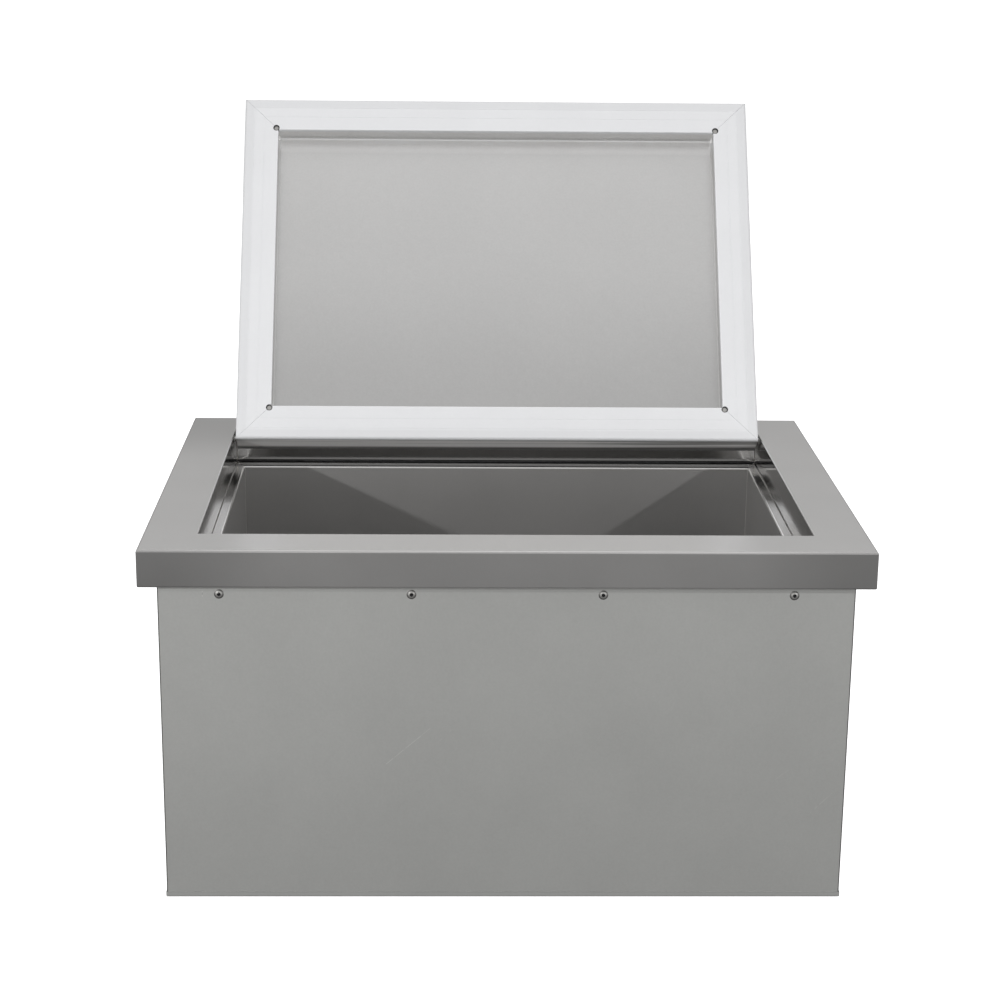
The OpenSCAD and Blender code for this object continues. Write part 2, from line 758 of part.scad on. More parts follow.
// A strip of length len along X, its outer edge at y = 0, cut to mitres at both ends
module mitred_strip(len) {
    cut = mitre_gap / sqrt(2);
    intersection() {
        translate([-len / 2, 0, 0]) rotate([90, 0, 90]) linear_extrude(len) strip_profile();
        translate([0, 0, -over]) linear_extrude(frame_t + 2 * over)
            polygon([[-len / 2 + cut, 0], [len / 2 - cut, 0],
                     [len / 2 - frame_w - cut, frame_w], [-len / 2 + frame_w + cut, frame_w]]);
    }
}

// A frame strip in its place, with its halves of the corner holes
module frame_strip(at, turn, len) {
    color("white") opened() difference() {
        translate([at[0], at[1], lid_under]) rotate([0, 0, turn]) mitred_strip(len);
        at_corner_holes()
            translate([0, 0, lid_under - over]) cylinder(d = corner_hole_d, h = frame_t - corner_web + over);
        at_corner_holes() translate([0, 0, lid_under]) cylinder(r = corner_shank_r + fit_gap, h = frame_t + over);
    }
}
module front_frame_strip() {
    frame_strip([0, lid_front], 0, 2 * lid_x);
}
module back_frame_strip() {
    frame_strip([0, lid_back], 180, 2 * lid_x);
}
module left_frame_strip() {
    frame_strip([-lid_x, lid_mid], -90, lid_d);
}
module right_frame_strip() {
    frame_strip([lid_x, lid_mid], 90, lid_d);
}

// Rivets that hold the strips at the inner corners, their heads down in the holes
module corner_rivets() {
    head_r = corner_hole_d / 2 - 1.1;
    head_h = 2.2;
    web_z = frame_top - corner_web;
    color("gray") opened() at_corner_holes() {
        translate([0, 0, web_z - head_h]) cylinder(r = head_r, h = head_h);
        translate([0, 0, web_z - over]) cylinder(r = corner_shank_r, h = corner_shank_h);
    }
}

// Dabs of white sealant in the front corners of the dished panel
module sealant_dabs() {
    dab_r = 3.2;
    color("white") opened() for (s = [-1, 1]) intersection() {
        translate([s * pan_x, pan_front, pan_z]) sphere(r = 2 * dab_r);
        translate([0, pan_mid, frame_top]) folded_box(2 * pan_x, pan_d, pan_z - frame_top, pan_bend);
    }
}

// Block inside the lid's back corner that takes the bush
module pivot_block(s) {
    x = lid_x - lid_sheet - block_clear;
    color("ivory") opened() mirrored_x(s) difference() {
        slab([-x, pivot_y - block_front, pivot_z - block_low],
             [-x + block_w, lid_back - lid_sheet - block_clear, lid_ceiling]);
        hole_x([-x - over, pivot_y, pivot_z], bush_r + fit_gap, block_w + 2 * over);
    }
}
module left_pivot_block() {
    pivot_block(-1);
}
module right_pivot_block() {
    pivot_block(1);
}

// White nylon bush that turns on the pin and stands out into the gap beside the lid
module bush(s) {
    color("white") opened() mirrored_x(s) difference() {
        hole_x([-bush_tip, pivot_y, pivot_z], bush_r, bush_len);
        hole_x([-bush_tip - over, pivot_y, pivot_z], bush_bore_r, bush_len + 2 * over);
    }
}
module left_bush() {
    bush(-1);
}
module right_bush() {
    bush(1);
}

// Half of the handle bar's outline, from its axis out
module bar_outline() {
    r = handle_d / 2;
    square([r - bar_end_r, handle_len]);
    translate([0, bar_end_r]) square([r, handle_len - 2 * bar_end_r]);
    for (end = [bar_end_r, handle_len - bar_end_r]) translate([r - bar_end_r, end]) circle(r = bar_end_r);
}

// Handle bar across the outside of the lid, with blind holes for its posts
module handle_bar() {
    color("silver") opened() difference() {
        translate([-handle_len / 2, handle_y, handle_z]) rotate([0, 90, 0]) rotate_extrude() bar_outline();
        for (s = [-1, 1])
            hole_z([s * handle_post_x, handle_y, handle_z - handle_d], post_d / 2 + fit_gap, handle_d);
    }
}
module handle_posts() {
    color("silver") opened() for (s = [-1, 1]) difference() {
        hole_z([s * handle_post_x, handle_y, total_h], post_d / 2, handle_z - total_h);
        hole_z([s * handle_post_x, handle_y, total_h - over], screw_d / 2 + fit_gap, screw_deep + 2 * over);
    }
}

// Stiffener under the skin behind the handle
module handle_stiffener() {
    color("slategray") opened() difference() {
        slab([-stiffener_x, handle_y - stiffener_d / 2, lid_ceiling - stiffener_t],
             [stiffener_x, handle_y + stiffener_d / 2, lid_ceiling]);
        for (s = [-1, 1])
            hole_z([s * handle_post_x, handle_y, lid_ceiling - stiffener_t - over], screw_d / 2 + fit_gap,
                   stiffener_t + 2 * over);
    }
}
module handle_screws() {
    head_z = lid_ceiling - stiffener_t - screw_head_h;
    color("gray") opened() for (s = [-1, 1]) {
        hole_z([s * handle_post_x, handle_y, head_z], screw_head_d / 2, screw_head_h);
        hole_z([s * handle_post_x, handle_y, head_z + screw_head_h - over], screw_d / 2,
               total_h + screw_deep + over - head_z - screw_head_h);
    }
}

rim_frame();
tub_liner();
front_panel();
back_panel();
left_panel();
right_panel();
base_pan();
body_foam();
front_angle();
back_angle();
left_angle();
right_angle();
front_rivets();
back_rivets();
left_rivets();
right_rivets();
left_hinge_plate();
right_hinge_plate();
left_hinge_pin();
right_hinge_pin();
drain_body();
drain_gasket();
drain_locknut();
drain_strainer();
drain_cup();
drain_plug();
lid_skin();
lid_foam();
lid_panel();
front_frame_strip();
back_frame_strip();
left_frame_strip();
right_frame_strip();
corner_rivets();
sealant_dabs();
left_pivot_block();
right_pivot_block();
left_bush();
right_bush();
handle_bar();
handle_posts();
handle_stiffener();
handle_screws();
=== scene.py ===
# %% [markdown]
# A drop-in cooler, dressed for its picture.
#
# The real object is a stainless steel box filled with foam. It hangs in a hole in a worktop by the
# hem under its wide rim, and its insulated lid lies in a recess in that rim. The photograph shows
# it standing on a white sweep with the lid leaning open.
#
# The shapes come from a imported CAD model, which is loaded as a fixed frame. This script adds what a
# CAD model lacks: a camera, light, finishes, and the small pieces a metal shop leaves behind, such
# as weld beads, sealant and the broken stems of blind rivets.

# %% Load the frame
import json
import math

import bmesh
import bpy
from mathutils import Matrix, Vector, noise


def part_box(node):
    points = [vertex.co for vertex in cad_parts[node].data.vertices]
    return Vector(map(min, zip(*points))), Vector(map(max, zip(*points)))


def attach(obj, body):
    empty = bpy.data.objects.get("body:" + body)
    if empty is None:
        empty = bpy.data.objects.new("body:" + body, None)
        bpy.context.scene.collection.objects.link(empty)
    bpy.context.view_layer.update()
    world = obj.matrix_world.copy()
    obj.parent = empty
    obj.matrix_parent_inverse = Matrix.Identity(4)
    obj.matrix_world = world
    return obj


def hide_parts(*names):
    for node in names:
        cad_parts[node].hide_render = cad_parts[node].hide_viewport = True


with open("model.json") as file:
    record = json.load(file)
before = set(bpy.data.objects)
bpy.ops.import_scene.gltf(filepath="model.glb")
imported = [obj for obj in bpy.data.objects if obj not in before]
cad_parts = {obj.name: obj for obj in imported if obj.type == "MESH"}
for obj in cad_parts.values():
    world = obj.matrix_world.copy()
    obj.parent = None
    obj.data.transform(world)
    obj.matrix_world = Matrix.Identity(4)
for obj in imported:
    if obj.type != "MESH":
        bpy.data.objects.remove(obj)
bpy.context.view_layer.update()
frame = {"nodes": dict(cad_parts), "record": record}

# %% [markdown]
# The camera. The picture was taken from in front and a little above, with a long lens, and it was
# cropped so that the middle of the lens is not the middle of the picture. One could match it by
# eye, but a camera fitted to the corners of the rim, the body and the lid lands the edges within a
# pixel or two. Its place, its three turns and its lens are written here as plain numbers, and the
# crop becomes the lens shift.

# %% Place the camera
CAMERA_PLACE = Vector((-0.065869, -2.387901, 0.996251))
CAMERA_TURN, CAMERA_TILT, CAMERA_ROLL = 0.0233, 0.29503, -0.01
SENSOR_WIDTH, LENS_LENGTH = 36, 82.67945
LENS_SHIFT = (0.008923, 0.066513)


def camera_axes(turn, tilt, roll):
    """Right, up and backwards of a camera that looks along +Y when all three angles are zero."""
    ahead = Vector((math.sin(turn) * math.cos(tilt), math.cos(turn) * math.cos(tilt), -math.sin(tilt)))
    level_right = Vector((math.cos(turn), -math.sin(turn), 0))
    level_up = level_right.cross(ahead)
    right = math.cos(roll) * level_right - math.sin(roll) * level_up
    return right, right.cross(ahead), -ahead


lens_data = bpy.data.cameras.new("photo_camera")
lens_data.sensor_width = SENSOR_WIDTH
lens_data.lens = LENS_LENGTH
lens_data.shift_x, lens_data.shift_y = LENS_SHIFT
lens_data.clip_start, lens_data.clip_end = 0.05, 60
photo_camera = bpy.data.objects.new("photo_camera", lens_data)
bpy.context.scene.collection.objects.link(photo_camera)
turned = Matrix(camera_axes(CAMERA_TURN, CAMERA_TILT, CAMERA_ROLL)).transposed().to_4x4()
photo_camera.matrix_world = Matrix.Translation(CAMERA_PLACE) @ turned
bpy.context.scene.camera = photo_camera
for side, column in zip(("right", "up"), turned.col):
    print("camera", side, [round(v, 4) for v in column[:3]])

# %% [markdown]
# Short helpers for node trees. A shader is a graph of nodes, and writing each node and each wire
# out in full makes long scripts. These few helpers add a node with its settings, join a value or a
# wire to a socket, and do one step of arithmetic, so that a material reads like a recipe.

# %% Helpers for node trees
STEP_RIGHT = 190


def join(tree, value, socket):
    """Wires a socket into another, or sets a plain number, colour or vector on it."""
    if isinstance(value, bpy.types.NodeSocket):
        tree.links.new(value, socket)
    else:
        socket.default_value = value


def add(tree, kind, inputs=None, **settings):
    """A new node, one step to the right of the last, with its settings and inputs."""
    made = tree.nodes.new(kind)
    made.location = (STEP_RIGHT * len(tree.nodes), 0)
    for name, value in settings.items():
        setattr(made, name, value)
    for name, value in (inputs or {}).items():
        join(tree, value, made.inputs[name])
    return made


def maths(tree, operation, *values):
    """The output of one Math node on up to three numbers or sockets."""
    made = add(tree, "ShaderNodeMath", operation=operation)
    for socket, value in zip(made.inputs, values):
        join(tree, value, socket)
    return made.outputs[0]


def remap(tree, value, low, high, new_low=0.0, new_high=1.0, smooth=True):
    """A number taken from one range to another and held at its ends."""
    names = ("Value", "From Min", "From Max", "To Min", "To Max")
    made = add(tree, "ShaderNodeMapRange", dict(zip(names, (value, low, high, new_low, new_high))))
    made.interpolation_type = "SMOOTHSTEP" if smooth else "LINEAR"
    return made.outputs["Result"]


def split(tree, vector):
    """The X, Y and Z of a vector."""
    return add(tree, "ShaderNodeSeparateXYZ", {"Vector": vector}).outputs


def coordinates(tree, vector, axes):
    """Only the wanted coordinates of a vector, in the order of their letters."""
    parts = split(tree, vector)
    return [parts[axis] for axis in axes]


def vectors(tree, operation, first, second, output=0):
    """The output of one Vector Math node on two vectors or sockets."""
    made = add(tree, "ShaderNodeVectorMath", operation=operation)
    join(tree, first, made.inputs[0])
    join(tree, second, made.inputs[1])
    return made.outputs[output]


print("node helpers ready, steps of", STEP_RIGHT)

# %% [markdown]
# The studio. Bare metal has no colour of its own: it shows the room. So most of the work of
# lighting steel is in what surrounds it. A photograph as the surroundings would be one way, but a
# plain gradient by direction is enough and can be tuned: dark low in front, where the skirt of the
# rim looks, and bright high in front and behind, where the lid's panel and the top of the rim look.
# Camera rays see pure white instead, which is the photograph's background.

# %% Surround the cooler with a soft gradient
ROOM_HEIGHTS = (-1.0, -0.6, -0.42, -0.3, -0.15, 0.0, 0.17, 0.24, 0.3, 0.5, 0.75, 0.9, 1.0)
FRONT_ROOM = (0.26, 0.19, 0.1, 0.1, 0.43, 0.87, 0.86, 0.7, 0.5, 0.46, 0.46, 1.0, 1.5)
BACK_ROOM = (0.3, 0.28, 0.28, 0.32, 0.6, 0.3, 0.2, 0.2, 0.78, 0.96, 0.55, 0.66, 0.88)
SIDE_BLEND = 0.35
SWEEP_STRENGTH = 1.1


def room_ramp(tree, name, height, brightness):
    """Brightness of the room by the height of the direction, -1 straight down and 1 straight up."""
    share = remap(tree, height, -1.0, 1.0, smooth=False)
    ramp = add(tree, "ShaderNodeValToRGB", {"Fac": share}, name=name)
    stops = ramp.color_ramp.elements
    while len(stops) < len(ROOM_HEIGHTS):
        stops.new(1.0)
    for stop, level, value in zip(stops, ROOM_HEIGHTS, brightness):
        stop.position = (level + 1) / 2
        stop.color = (value, value, value, 1)
    return ramp.outputs["Color"]


room = bpy.data.worlds.new("studio")
room.use_nodes = True
bpy.context.scene.world = room
sky = room.node_tree
sky.nodes.clear()
direction = split(sky, add(sky, "ShaderNodeTexCoord").outputs["Generated"])
front_glow = room_ramp(sky, "front_room", direction["Z"], FRONT_ROOM)
back_glow = room_ramp(sky, "back_room", direction["Z"], BACK_ROOM)
behind = remap(sky, direction["Y"], -SIDE_BLEND, SIDE_BLEND)
glow = add(sky, "ShaderNodeMix", data_type="RGBA")
for name, value in (("Factor", behind), ("A", front_glow), ("B", back_glow)):
    sockets = [s for s in glow.inputs if s.name == name and s.type in ("VALUE", "RGBA")]
    join(sky, value, sockets[0] if name == "Factor" else sockets[-1])
glow_out = [s for s in glow.outputs if s.type == "RGBA"][0]
seen_light = add(sky, "ShaderNodeBackground", {"Color": glow_out, "Strength": 1.0})
white_sweep = add(sky, "ShaderNodeBackground", {"Color": (1, 1, 1, 1), "Strength": SWEEP_STRENGTH})
to_camera = add(sky, "ShaderNodeLightPath").outputs["Is Camera Ray"]
either = add(sky, "ShaderNodeMixShader", {"Fac": to_camera})
join(sky, seen_light.outputs[0], either.inputs[1])
join(sky, white_sweep.outputs[0], either.inputs[2])
add(sky, "ShaderNodeOutputWorld", {"Surface": either.outputs[0]})
bpy.context.scene.view_settings.view_transform = "Standard"
print("room brightness, front:", FRONT_ROOM, "back:", BACK_ROOM)

# %% [markdown]
# The lamps. The gradient above does most of the work. Two small bright lamps stand in front, one at
# each side. The sides of the rim throw their shadows into the tub, which is why its back wall has a
# brighter patch with slanting ends: the slant is the lamp's height seen from the front, so it fixes
# how high each lamp stands for how far it is out.

# %% Hang the lamps
LEFT_SLANT, RIGHT_SLANT = 0.475, 0.68
LEFT_POWER, RIGHT_POWER = 50, 43
LAMP_OUT, LAMP_AHEAD, LAMP_SIDE = 2.4, 2.9, 0.06
LAMP_AIM = Vector((0, 0.1, 0.3))
RIM_TOP, RECESS_SIDE = 0.37, 0.303


def soft_box(name, side, slant, power):
    """A square lamp out to one side, turned to face the recess, unseen by the camera."""
    place = Vector((side * LAMP_OUT, -LAMP_AHEAD, RIM_TOP + (LAMP_OUT - RECESS_SIDE) * slant))
    lamp_data = bpy.data.lights.new(name, "AREA")
    lamp_data.shape = "RECTANGLE"
    lamp_data.size = lamp_data.size_y = LAMP_SIDE
    lamp_data.energy = power
    lamp = bpy.data.objects.new(name, lamp_data)
    bpy.context.scene.collection.objects.link(lamp)
    lamp.location = place
    lamp.rotation_euler = (LAMP_AIM - place).to_track_quat("-Z", "Y").to_euler()
    lamp.visible_camera = False
    return lamp


lamps = [
    soft_box("lamp_left", -1, LEFT_SLANT, LEFT_POWER),
    soft_box("lamp_right", 1, RIGHT_SLANT, RIGHT_POWER),
]
print("lamps:", {lamp.name: lamp.data.energy for lamp in lamps})

# %% [markdown]
# The floor. It is a plain pale sheet that glows a little, so that it comes out as white as the
# photograph's sweep and keeps only a breath of shadow. Only the camera sees it: the room gradient
# already says what the steel sees below it, and a floor that mirrored or shaded as well would count
# that light twice. It is clear from underneath, so that the base can be looked at from below.

# %% Lay the floor
FLOOR_DROP = 0.0006
FLOOR_HALF = 5.0
FLOOR_SHADE, FLOOR_GLOW = 0.92, 0.75


def lay_floor():
    """A flat sheet just under the base, with a glowing white finish that is clear from below."""
    mesh = bpy.data.meshes.new("studio_floor")
    corners = [(x, y, -FLOOR_DROP) for x, y in ((-1, -1), (1, -1), (1, 1), (-1, 1))]
    mesh.from_pydata([(x * FLOOR_HALF, y * FLOOR_HALF, z) for x, y, z in corners], [], [(0, 1, 2, 3)])
    paint = bpy.data.materials.new("floor_white")
    paint.use_nodes = True
    tree = paint.node_tree
    tree.nodes.clear()
    white = add(tree, "ShaderNodeBsdfPrincipled", {"Base Color": (*[FLOOR_SHADE] * 3, 1), "Roughness": 0.9})
    white.inputs["Specular IOR Level"].default_value = 0.0
    white.inputs["Emission Color"].default_value = (1, 1, 1, 1)
    white.inputs["Emission Strength"].default_value = FLOOR_GLOW
    clear = add(tree, "ShaderNodeBsdfTransparent")
    below = add(tree, "ShaderNodeNewGeometry").outputs["Backfacing"]
    mixed = add(tree, "ShaderNodeMixShader", {"Fac": below})
    join(tree, white.outputs[0], mixed.inputs[1])
    join(tree, clear.outputs[0], mixed.inputs[2])
    add(tree, "ShaderNodeOutputMaterial", {"Surface": mixed.outputs[0]})
    mesh.materials.append(paint)
    floor = bpy.data.objects.new("studio_floor", mesh)
    bpy.context.scene.collection.objects.link(floor)
    floor.visible_glossy = floor.visible_diffuse = floor.visible_shadow = False
    return floor


studio_floor = lay_floor()
print(studio_floor.name, "at", -FLOOR_DROP)

# %% [markdown]
# Effects that more than one finish uses are node groups, built once. The first is cloudiness: the
# broad, faint patches that polishing and handling leave on sheet metal, a hand's breadth across.
# Noise in the object's own coordinates gives it, so it stays put when the lid turns.

# %% Group: clouds


def start_group(name, inputs, outputs):
    """A new shader group with named float or vector inputs, and the sockets of what it is given."""
    group = bpy.data.node_groups.new(name, "ShaderNodeTree")
    for socket, default in inputs.items():
        kind = "NodeSocketFloat" if isinstance(default, float) else "NodeSocketVector"
        group.interface.new_socket(socket, in_out="INPUT", socket_type=kind).default_value = default
    for socket in outputs:
        group.interface.new_socket(socket, in_out="OUTPUT", socket_type="NodeSocketFloat")
    return group, add(group, "NodeGroupInput").outputs


def use_group(tree, group, **inputs):
    """The outputs of a group placed in a tree, with its inputs set or wired."""
    placed = add(tree, "ShaderNodeGroup", node_tree=group)
    for name, value in inputs.items():
        join(tree, value, placed.inputs[name])
    return placed.outputs


def here(tree):
    """The point being shaded, in metres, in the frame the object was made in."""
    return add(tree, "ShaderNodeTexCoord").outputs["Object"]


def noise_at(tree, place, scale, detail, rough=0.5):
    """Smooth noise between 0 and 1 with so many cells to the metre."""
    values = {"Vector": place, "Scale": scale, "Detail": detail, "Roughness": rough}
    return add(tree, "ShaderNodeTexNoise", values).outputs["Fac"]


clouds, given = start_group("clouds", {"Scale": 9.0}, ("Tone",))
patches = noise_at(clouds, here(clouds), given["Scale"], 3.0, 0.55)
add(clouds, "NodeGroupOutput", {"Tone": remap(clouds, patches, 0.3, 0.7)})
print("group:", clouds.name)

# %% [markdown]
# Mill mottle is the skin of cold-rolled sheet as it leaves the rollers. Close up it is a field of
# tiny facets, so under a lamp it sparkles in grains a millimetre or two across. Fine noise gives
# the grains, coarser noise lets them drift, and both go into a very shallow bump.

# %% Group: mill mottle
MOTTLE_INPUTS = {"Scale": 420.0, "Stretch": (1.0, 1.0, 1.0)}
COARSE_SCALE, GRAIN_SHARE = 0.31, 0.65
mill_mottle, given = start_group("mill_mottle", MOTTLE_INPUTS, ("Tone", "Height"))
stretched = vectors(mill_mottle, "MULTIPLY", here(mill_mottle), given["Stretch"])
grains = noise_at(mill_mottle, stretched, given["Scale"], 2.0, 0.6)
coarse_scale = maths(mill_mottle, "MULTIPLY", given["Scale"], COARSE_SCALE)
drifts = noise_at(mill_mottle, stretched, coarse_scale, 3.0, 0.6)
coarse = maths(mill_mottle, "MULTIPLY", drifts, 1 - GRAIN_SHARE)
both = maths(mill_mottle, "MULTIPLY_ADD", grains, GRAIN_SHARE, coarse)
tone = remap(mill_mottle, both, 0.3, 0.7, smooth=False)
add(mill_mottle, "NodeGroupOutput", {"Tone": tone, "Height": both})
print("group:", mill_mottle.name)

# %% [markdown]
# A hairline is one fine scratch, where something slid along the sheet. It is drawn by distance: the
# closer a point is to the line between two places, the stronger the mark, and a little noise along
# it makes it skip as a real scratch does.

# %% Group: hairline
HAIRLINE_INPUTS = {"From": (0.0, 0.0, 0.0), "To": (0.0, 0.0, 0.1), "Width": 0.0006}
hairline, given = start_group("hairline", HAIRLINE_INPUTS, ("Mark",))

run = vectors(hairline, "SUBTRACT", given["To"], given["From"])
reach = vectors(hairline, "SUBTRACT", here(hairline), given["From"])
length_squared = vectors(hairline, "DOT_PRODUCT", run, run, 1)
share = maths(hairline, "DIVIDE", vectors(hairline, "DOT_PRODUCT", reach, run, 1), length_squared)
held = remap(hairline, share, 0.0, 1.0, smooth=False)
along = add(hairline, "ShaderNodeVectorMath", operation="SCALE")
join(hairline, run, along.inputs[0])
join(hairline, held, along.inputs["Scale"])
off_line = vectors(hairline, "LENGTH", vectors(hairline, "SUBTRACT", reach, along.outputs[0]), (0, 0, 0), 1)
widths_off = maths(hairline, "DIVIDE", off_line, given["Width"])
near = maths(hairline, "SUBTRACT", 1.0, remap(hairline, widths_off, 0.0, 1.0))
skips = remap(hairline, noise_at(hairline, here(hairline), 160.0, 2.0), 0.38, 0.55)
add(hairline, "NodeGroupOutput", {"Mark": maths(hairline, "MULTIPLY", near, skips)})
print("group:", hairline.name)

# %% [markdown]
# Steel finishes. Each one is a metallic surface whose colour is pulled up and down a little by the
# clouds and the mottle, whose roughness drifts with the clouds, and whose bump is a few
# thousandths of a millimetre deep. One recipe makes them all, because what tells a brushed rim from
# a mill-finish panel is only how rough, how coarse and how even they are.

# %% Recipe for steel
finishes = {}
STEEL_CLOUDS, SHINE_DRIFT = 8.0, 0.012


def start_finish(name):
    """A new material with a bare Principled shader: its tree and the shader."""
    finish = bpy.data.materials.new(name)
    finish.use_nodes = True
    tree = finish.node_tree
    tree.nodes.clear()
    shader = add(tree, "ShaderNodeBsdfPrincipled")
    add(tree, "ShaderNodeOutputMaterial", {"Surface": shader.outputs[0]})
    return finish, tree, shader


def shade(tree, colour, level):
    """A colour made lighter or darker by a number that changes over the surface."""
    made = add(tree, "ShaderNodeVectorMath", {"Scale": level}, operation="SCALE")
    made.inputs[0].default_value = colour
    return made.outputs[0]


def bump(tree, shader, height, depth):
    """Feeds a height that changes over the surface into the shader's normal."""
    made = add(tree, "ShaderNodeBump", {"Height": height, "Strength": 1.0, "Distance": depth})
    join(tree, made.outputs["Normal"], shader.inputs["Normal"])


def steel(name, colour, rough, grain=420.0, stretch=(1, 1, 1), depth=4e-6, swing=0.06, patch=0.03,
          mask=None, masked=(1.0, 0.1), lines=(), tones=(), metallic=None):
    """Makes a metal finish, with another tone and shine inside a mask, hairlines, and tones by place."""
    finish, tree, shader = start_finish(name)
    shader.inputs["Metallic"].default_value = 1.0
    cloud = use_group(tree, clouds, Scale=STEEL_CLOUDS)["Tone"]
    skin = use_group(tree, mill_mottle, Scale=grain, Stretch=stretch)
    drift = maths(tree, "MULTIPLY_ADD", cloud, patch, 1 - patch / 2)
    level = maths(tree, "MULTIPLY", drift, maths(tree, "MULTIPLY_ADD", skin["Tone"], swing, 1 - swing / 2))
    shine = maths(tree, "MULTIPLY_ADD", cloud, SHINE_DRIFT, rough - SHINE_DRIFT / 2)
    for start, end, strength in lines:
        mark = use_group(tree, hairline, From=start, To=end)["Mark"]
        level = maths(tree, "MULTIPLY", level, maths(tree, "MULTIPLY_ADD", mark, strength, 1.0))
    if mask:
        inside = mask(tree)
        level = maths(tree, "MULTIPLY", level, remap(tree, inside, 0.0, 1.0, 1.0, masked[0], smooth=False))
        shine = maths(tree, "MULTIPLY_ADD", maths(tree, "SUBTRACT", masked[1], shine), inside, shine)
    for tone in tones:
        level = maths(tree, "MULTIPLY", level, tone(tree))
    if metallic:
        join(tree, metallic(tree), shader.inputs["Metallic"])
    join(tree, shade(tree, colour, level), shader.inputs["Base Color"])
    join(tree, shine, shader.inputs["Roughness"])
    bump(tree, shader, skin["Height"], depth)
    finishes[name] = finish


steel("pin_steel", (0.62, 0.615, 0.6), 0.22, grain=1500.0)
steel("drain_steel", (0.64, 0.635, 0.62), 0.2, grain=900.0, swing=0.03)
print("plain steels:", list(finishes))

# %% [markdown]
# Most sheets have two finishes on one piece. The rim's top and skirt are satin, while the walls of its
# recess keep the polish of the press, so they mirror the lid. The tub's narrow ledge is polished too,
# and the lid's edges. The cut ends of the thin body sheets look darker than their faces. The place of
# a point tells which it is, so a mask worked out from coordinates picks the finish. A tone does the
# same for light and dark: it is 1 where the sheet is as bright as the rest, and it multiplies. Both
# need the sizes of the sheets they lie on, in metres. The lid's sizes are those of the shut lid.

# %% Sizes for the masks
BODY_HALF = (0.34, 0.26)
RIM_HALF_Y = 0.277
RECESS_FRONT, RECESS_BACK = -0.219, 0.222
RECESS_HALF = (RECESS_SIDE, (RECESS_BACK - RECESS_FRONT) / 2)
RECESS_MIDDLE_Y = (RECESS_FRONT + RECESS_BACK) / 2
LEDGE_UNDER, LEDGE, FOOT_TOP = 0.3292, 0.331, 0.3342
PANEL_EDGE = (0.33905, 0.2592)
LIP_EDGE = 0.00535
LID_SIDE, LID_FRONT, LID_BACK, LID_TOP = 0.3005, -0.216, 0.2157, RIM_TOP
LID_HALF = (LID_SIDE, (LID_BACK - LID_FRONT) / 2)
LID_MIDDLE_Y = (LID_FRONT + LID_BACK) / 2
FILM_TOP = 0.358
FRAME_WIDTH, HOLE_OUT, HOLE_RADIUS = 0.04, 0.0023, 0.0037
DISH_HALF = tuple(half - FRAME_WIDTH for half in LID_HALF)
CORNER_HOLE = tuple(half + HOLE_OUT for half in DISH_HALF)
HINGE_POINT = (0.0, 0.2063, 0.3614)
OPEN_TURN = math.radians(123.59)
print("half sizes of recess, lid and dish:", RECESS_HALF, LID_HALF, DISH_HALF)

# %% [markdown]
# The masks of the box come first. Most of them ask how far a point lies outside an upright rectangle,
# such as the opening of the recess, and let the finish change over a short distance there. The blend
# and the pairs of numbers are distances in metres. The tones, gains and losses, and the three numbers
# for the ledge, are shares of the sheet's own brightness.

# %% Masks and tones of the box
FOLD_BLEND = 0.0006
WALL_END, HEM_START = (0.0004, 0.0012), (0.005, 0.008)
SKIRT_DEPTH, RING_OUT = (0.0025, 0.0005), (0.0005, 0.0008)
FOOT_HIGHLIGHT_GAIN, CORNER_SHADE, RING_SHADE = 0.6, -0.26, 0.42
SHADED_LEDGE_Y = (0.193, 0.201)
FRONT_LEDGE, SHADED_LEDGE, LEDGE_HIGHLIGHT = 0.87, 0.15, 1.6
SHADED_SKIRT_X = (0.21, 0.34)
SHADED_CORNER_X, SHADED_CORNER_Y = (-0.31, -0.26), (0.06, 0.22)


def past_half(tree, place, half):
    """How far a place lies outside an upright rectangle, on each axis, negative inside it."""
    pairs = zip(place, half)
    return [maths(tree, "SUBTRACT", maths(tree, "ABSOLUTE", value), limit) for value, limit in pairs]


def far_out(tree, half, middle_y=0.0):
    """How far the point being shaded lies outside an upright rectangle, on each axis."""
    x, y = coordinates(tree, here(tree), "XY")
    return past_half(tree, (x, maths(tree, "SUBTRACT", y, middle_y)), half)


def past_recess(tree):
    """How far the point being shaded lies outside the opening of the recess, negative inside it."""
    return maths(tree, "MAXIMUM", *far_out(tree, RECESS_HALF, RECESS_MIDDLE_Y))


def recess_mask(tree):
    """1 on the walls of the recess and 0 on the top and the skirt."""
    return remap(tree, past_recess(tree), *WALL_END, 1.0, 0.0)


def foot_highlight_tone(tree):
    """Painted highlight: the bend at the foot of the recess walls is made brighter, but not the hem under
    the rim.
    """
    low = remap(tree, split(tree, here(tree))["Z"], FOOT_TOP - FOLD_BLEND, FOOT_TOP, 1.0, 0.0)
    inside = maths(tree, "MULTIPLY", low, remap(tree, past_recess(tree), *HEM_START, 1.0, 0.0))
    return maths(tree, "MULTIPLY_ADD", inside, FOOT_HIGHLIGHT_GAIN, 1.0)


def skirt_end_shade(tree):
    """Painted shade: the skirt in front and behind is darker towards its ends."""
    x, y = (maths(tree, "ABSOLUTE", value) for value in coordinates(tree, here(tree), "XY"))
    on_skirt = remap(tree, y, *(RIM_HALF_Y - depth for depth in SKIRT_DEPTH))
    ends = remap(tree, x, *SHADED_SKIRT_X, 0.95, 0.7)
    return maths(tree, "MULTIPLY_ADD", on_skirt, maths(tree, "SUBTRACT", ends, 1.0), 1.0)


def corner_shade_tone(tree):
    """Painted shade: the top of the rim is darker at its left corner by the hinge."""
    x, y = coordinates(tree, here(tree), "XY")
    leftwards, backwards = remap(tree, x, *SHADED_CORNER_X, 1.0, 0.0), remap(tree, y, *SHADED_CORNER_Y)
    return maths(tree, "MULTIPLY_ADD", maths(tree, "MULTIPLY", leftwards, backwards), CORNER_SHADE, 1.0)


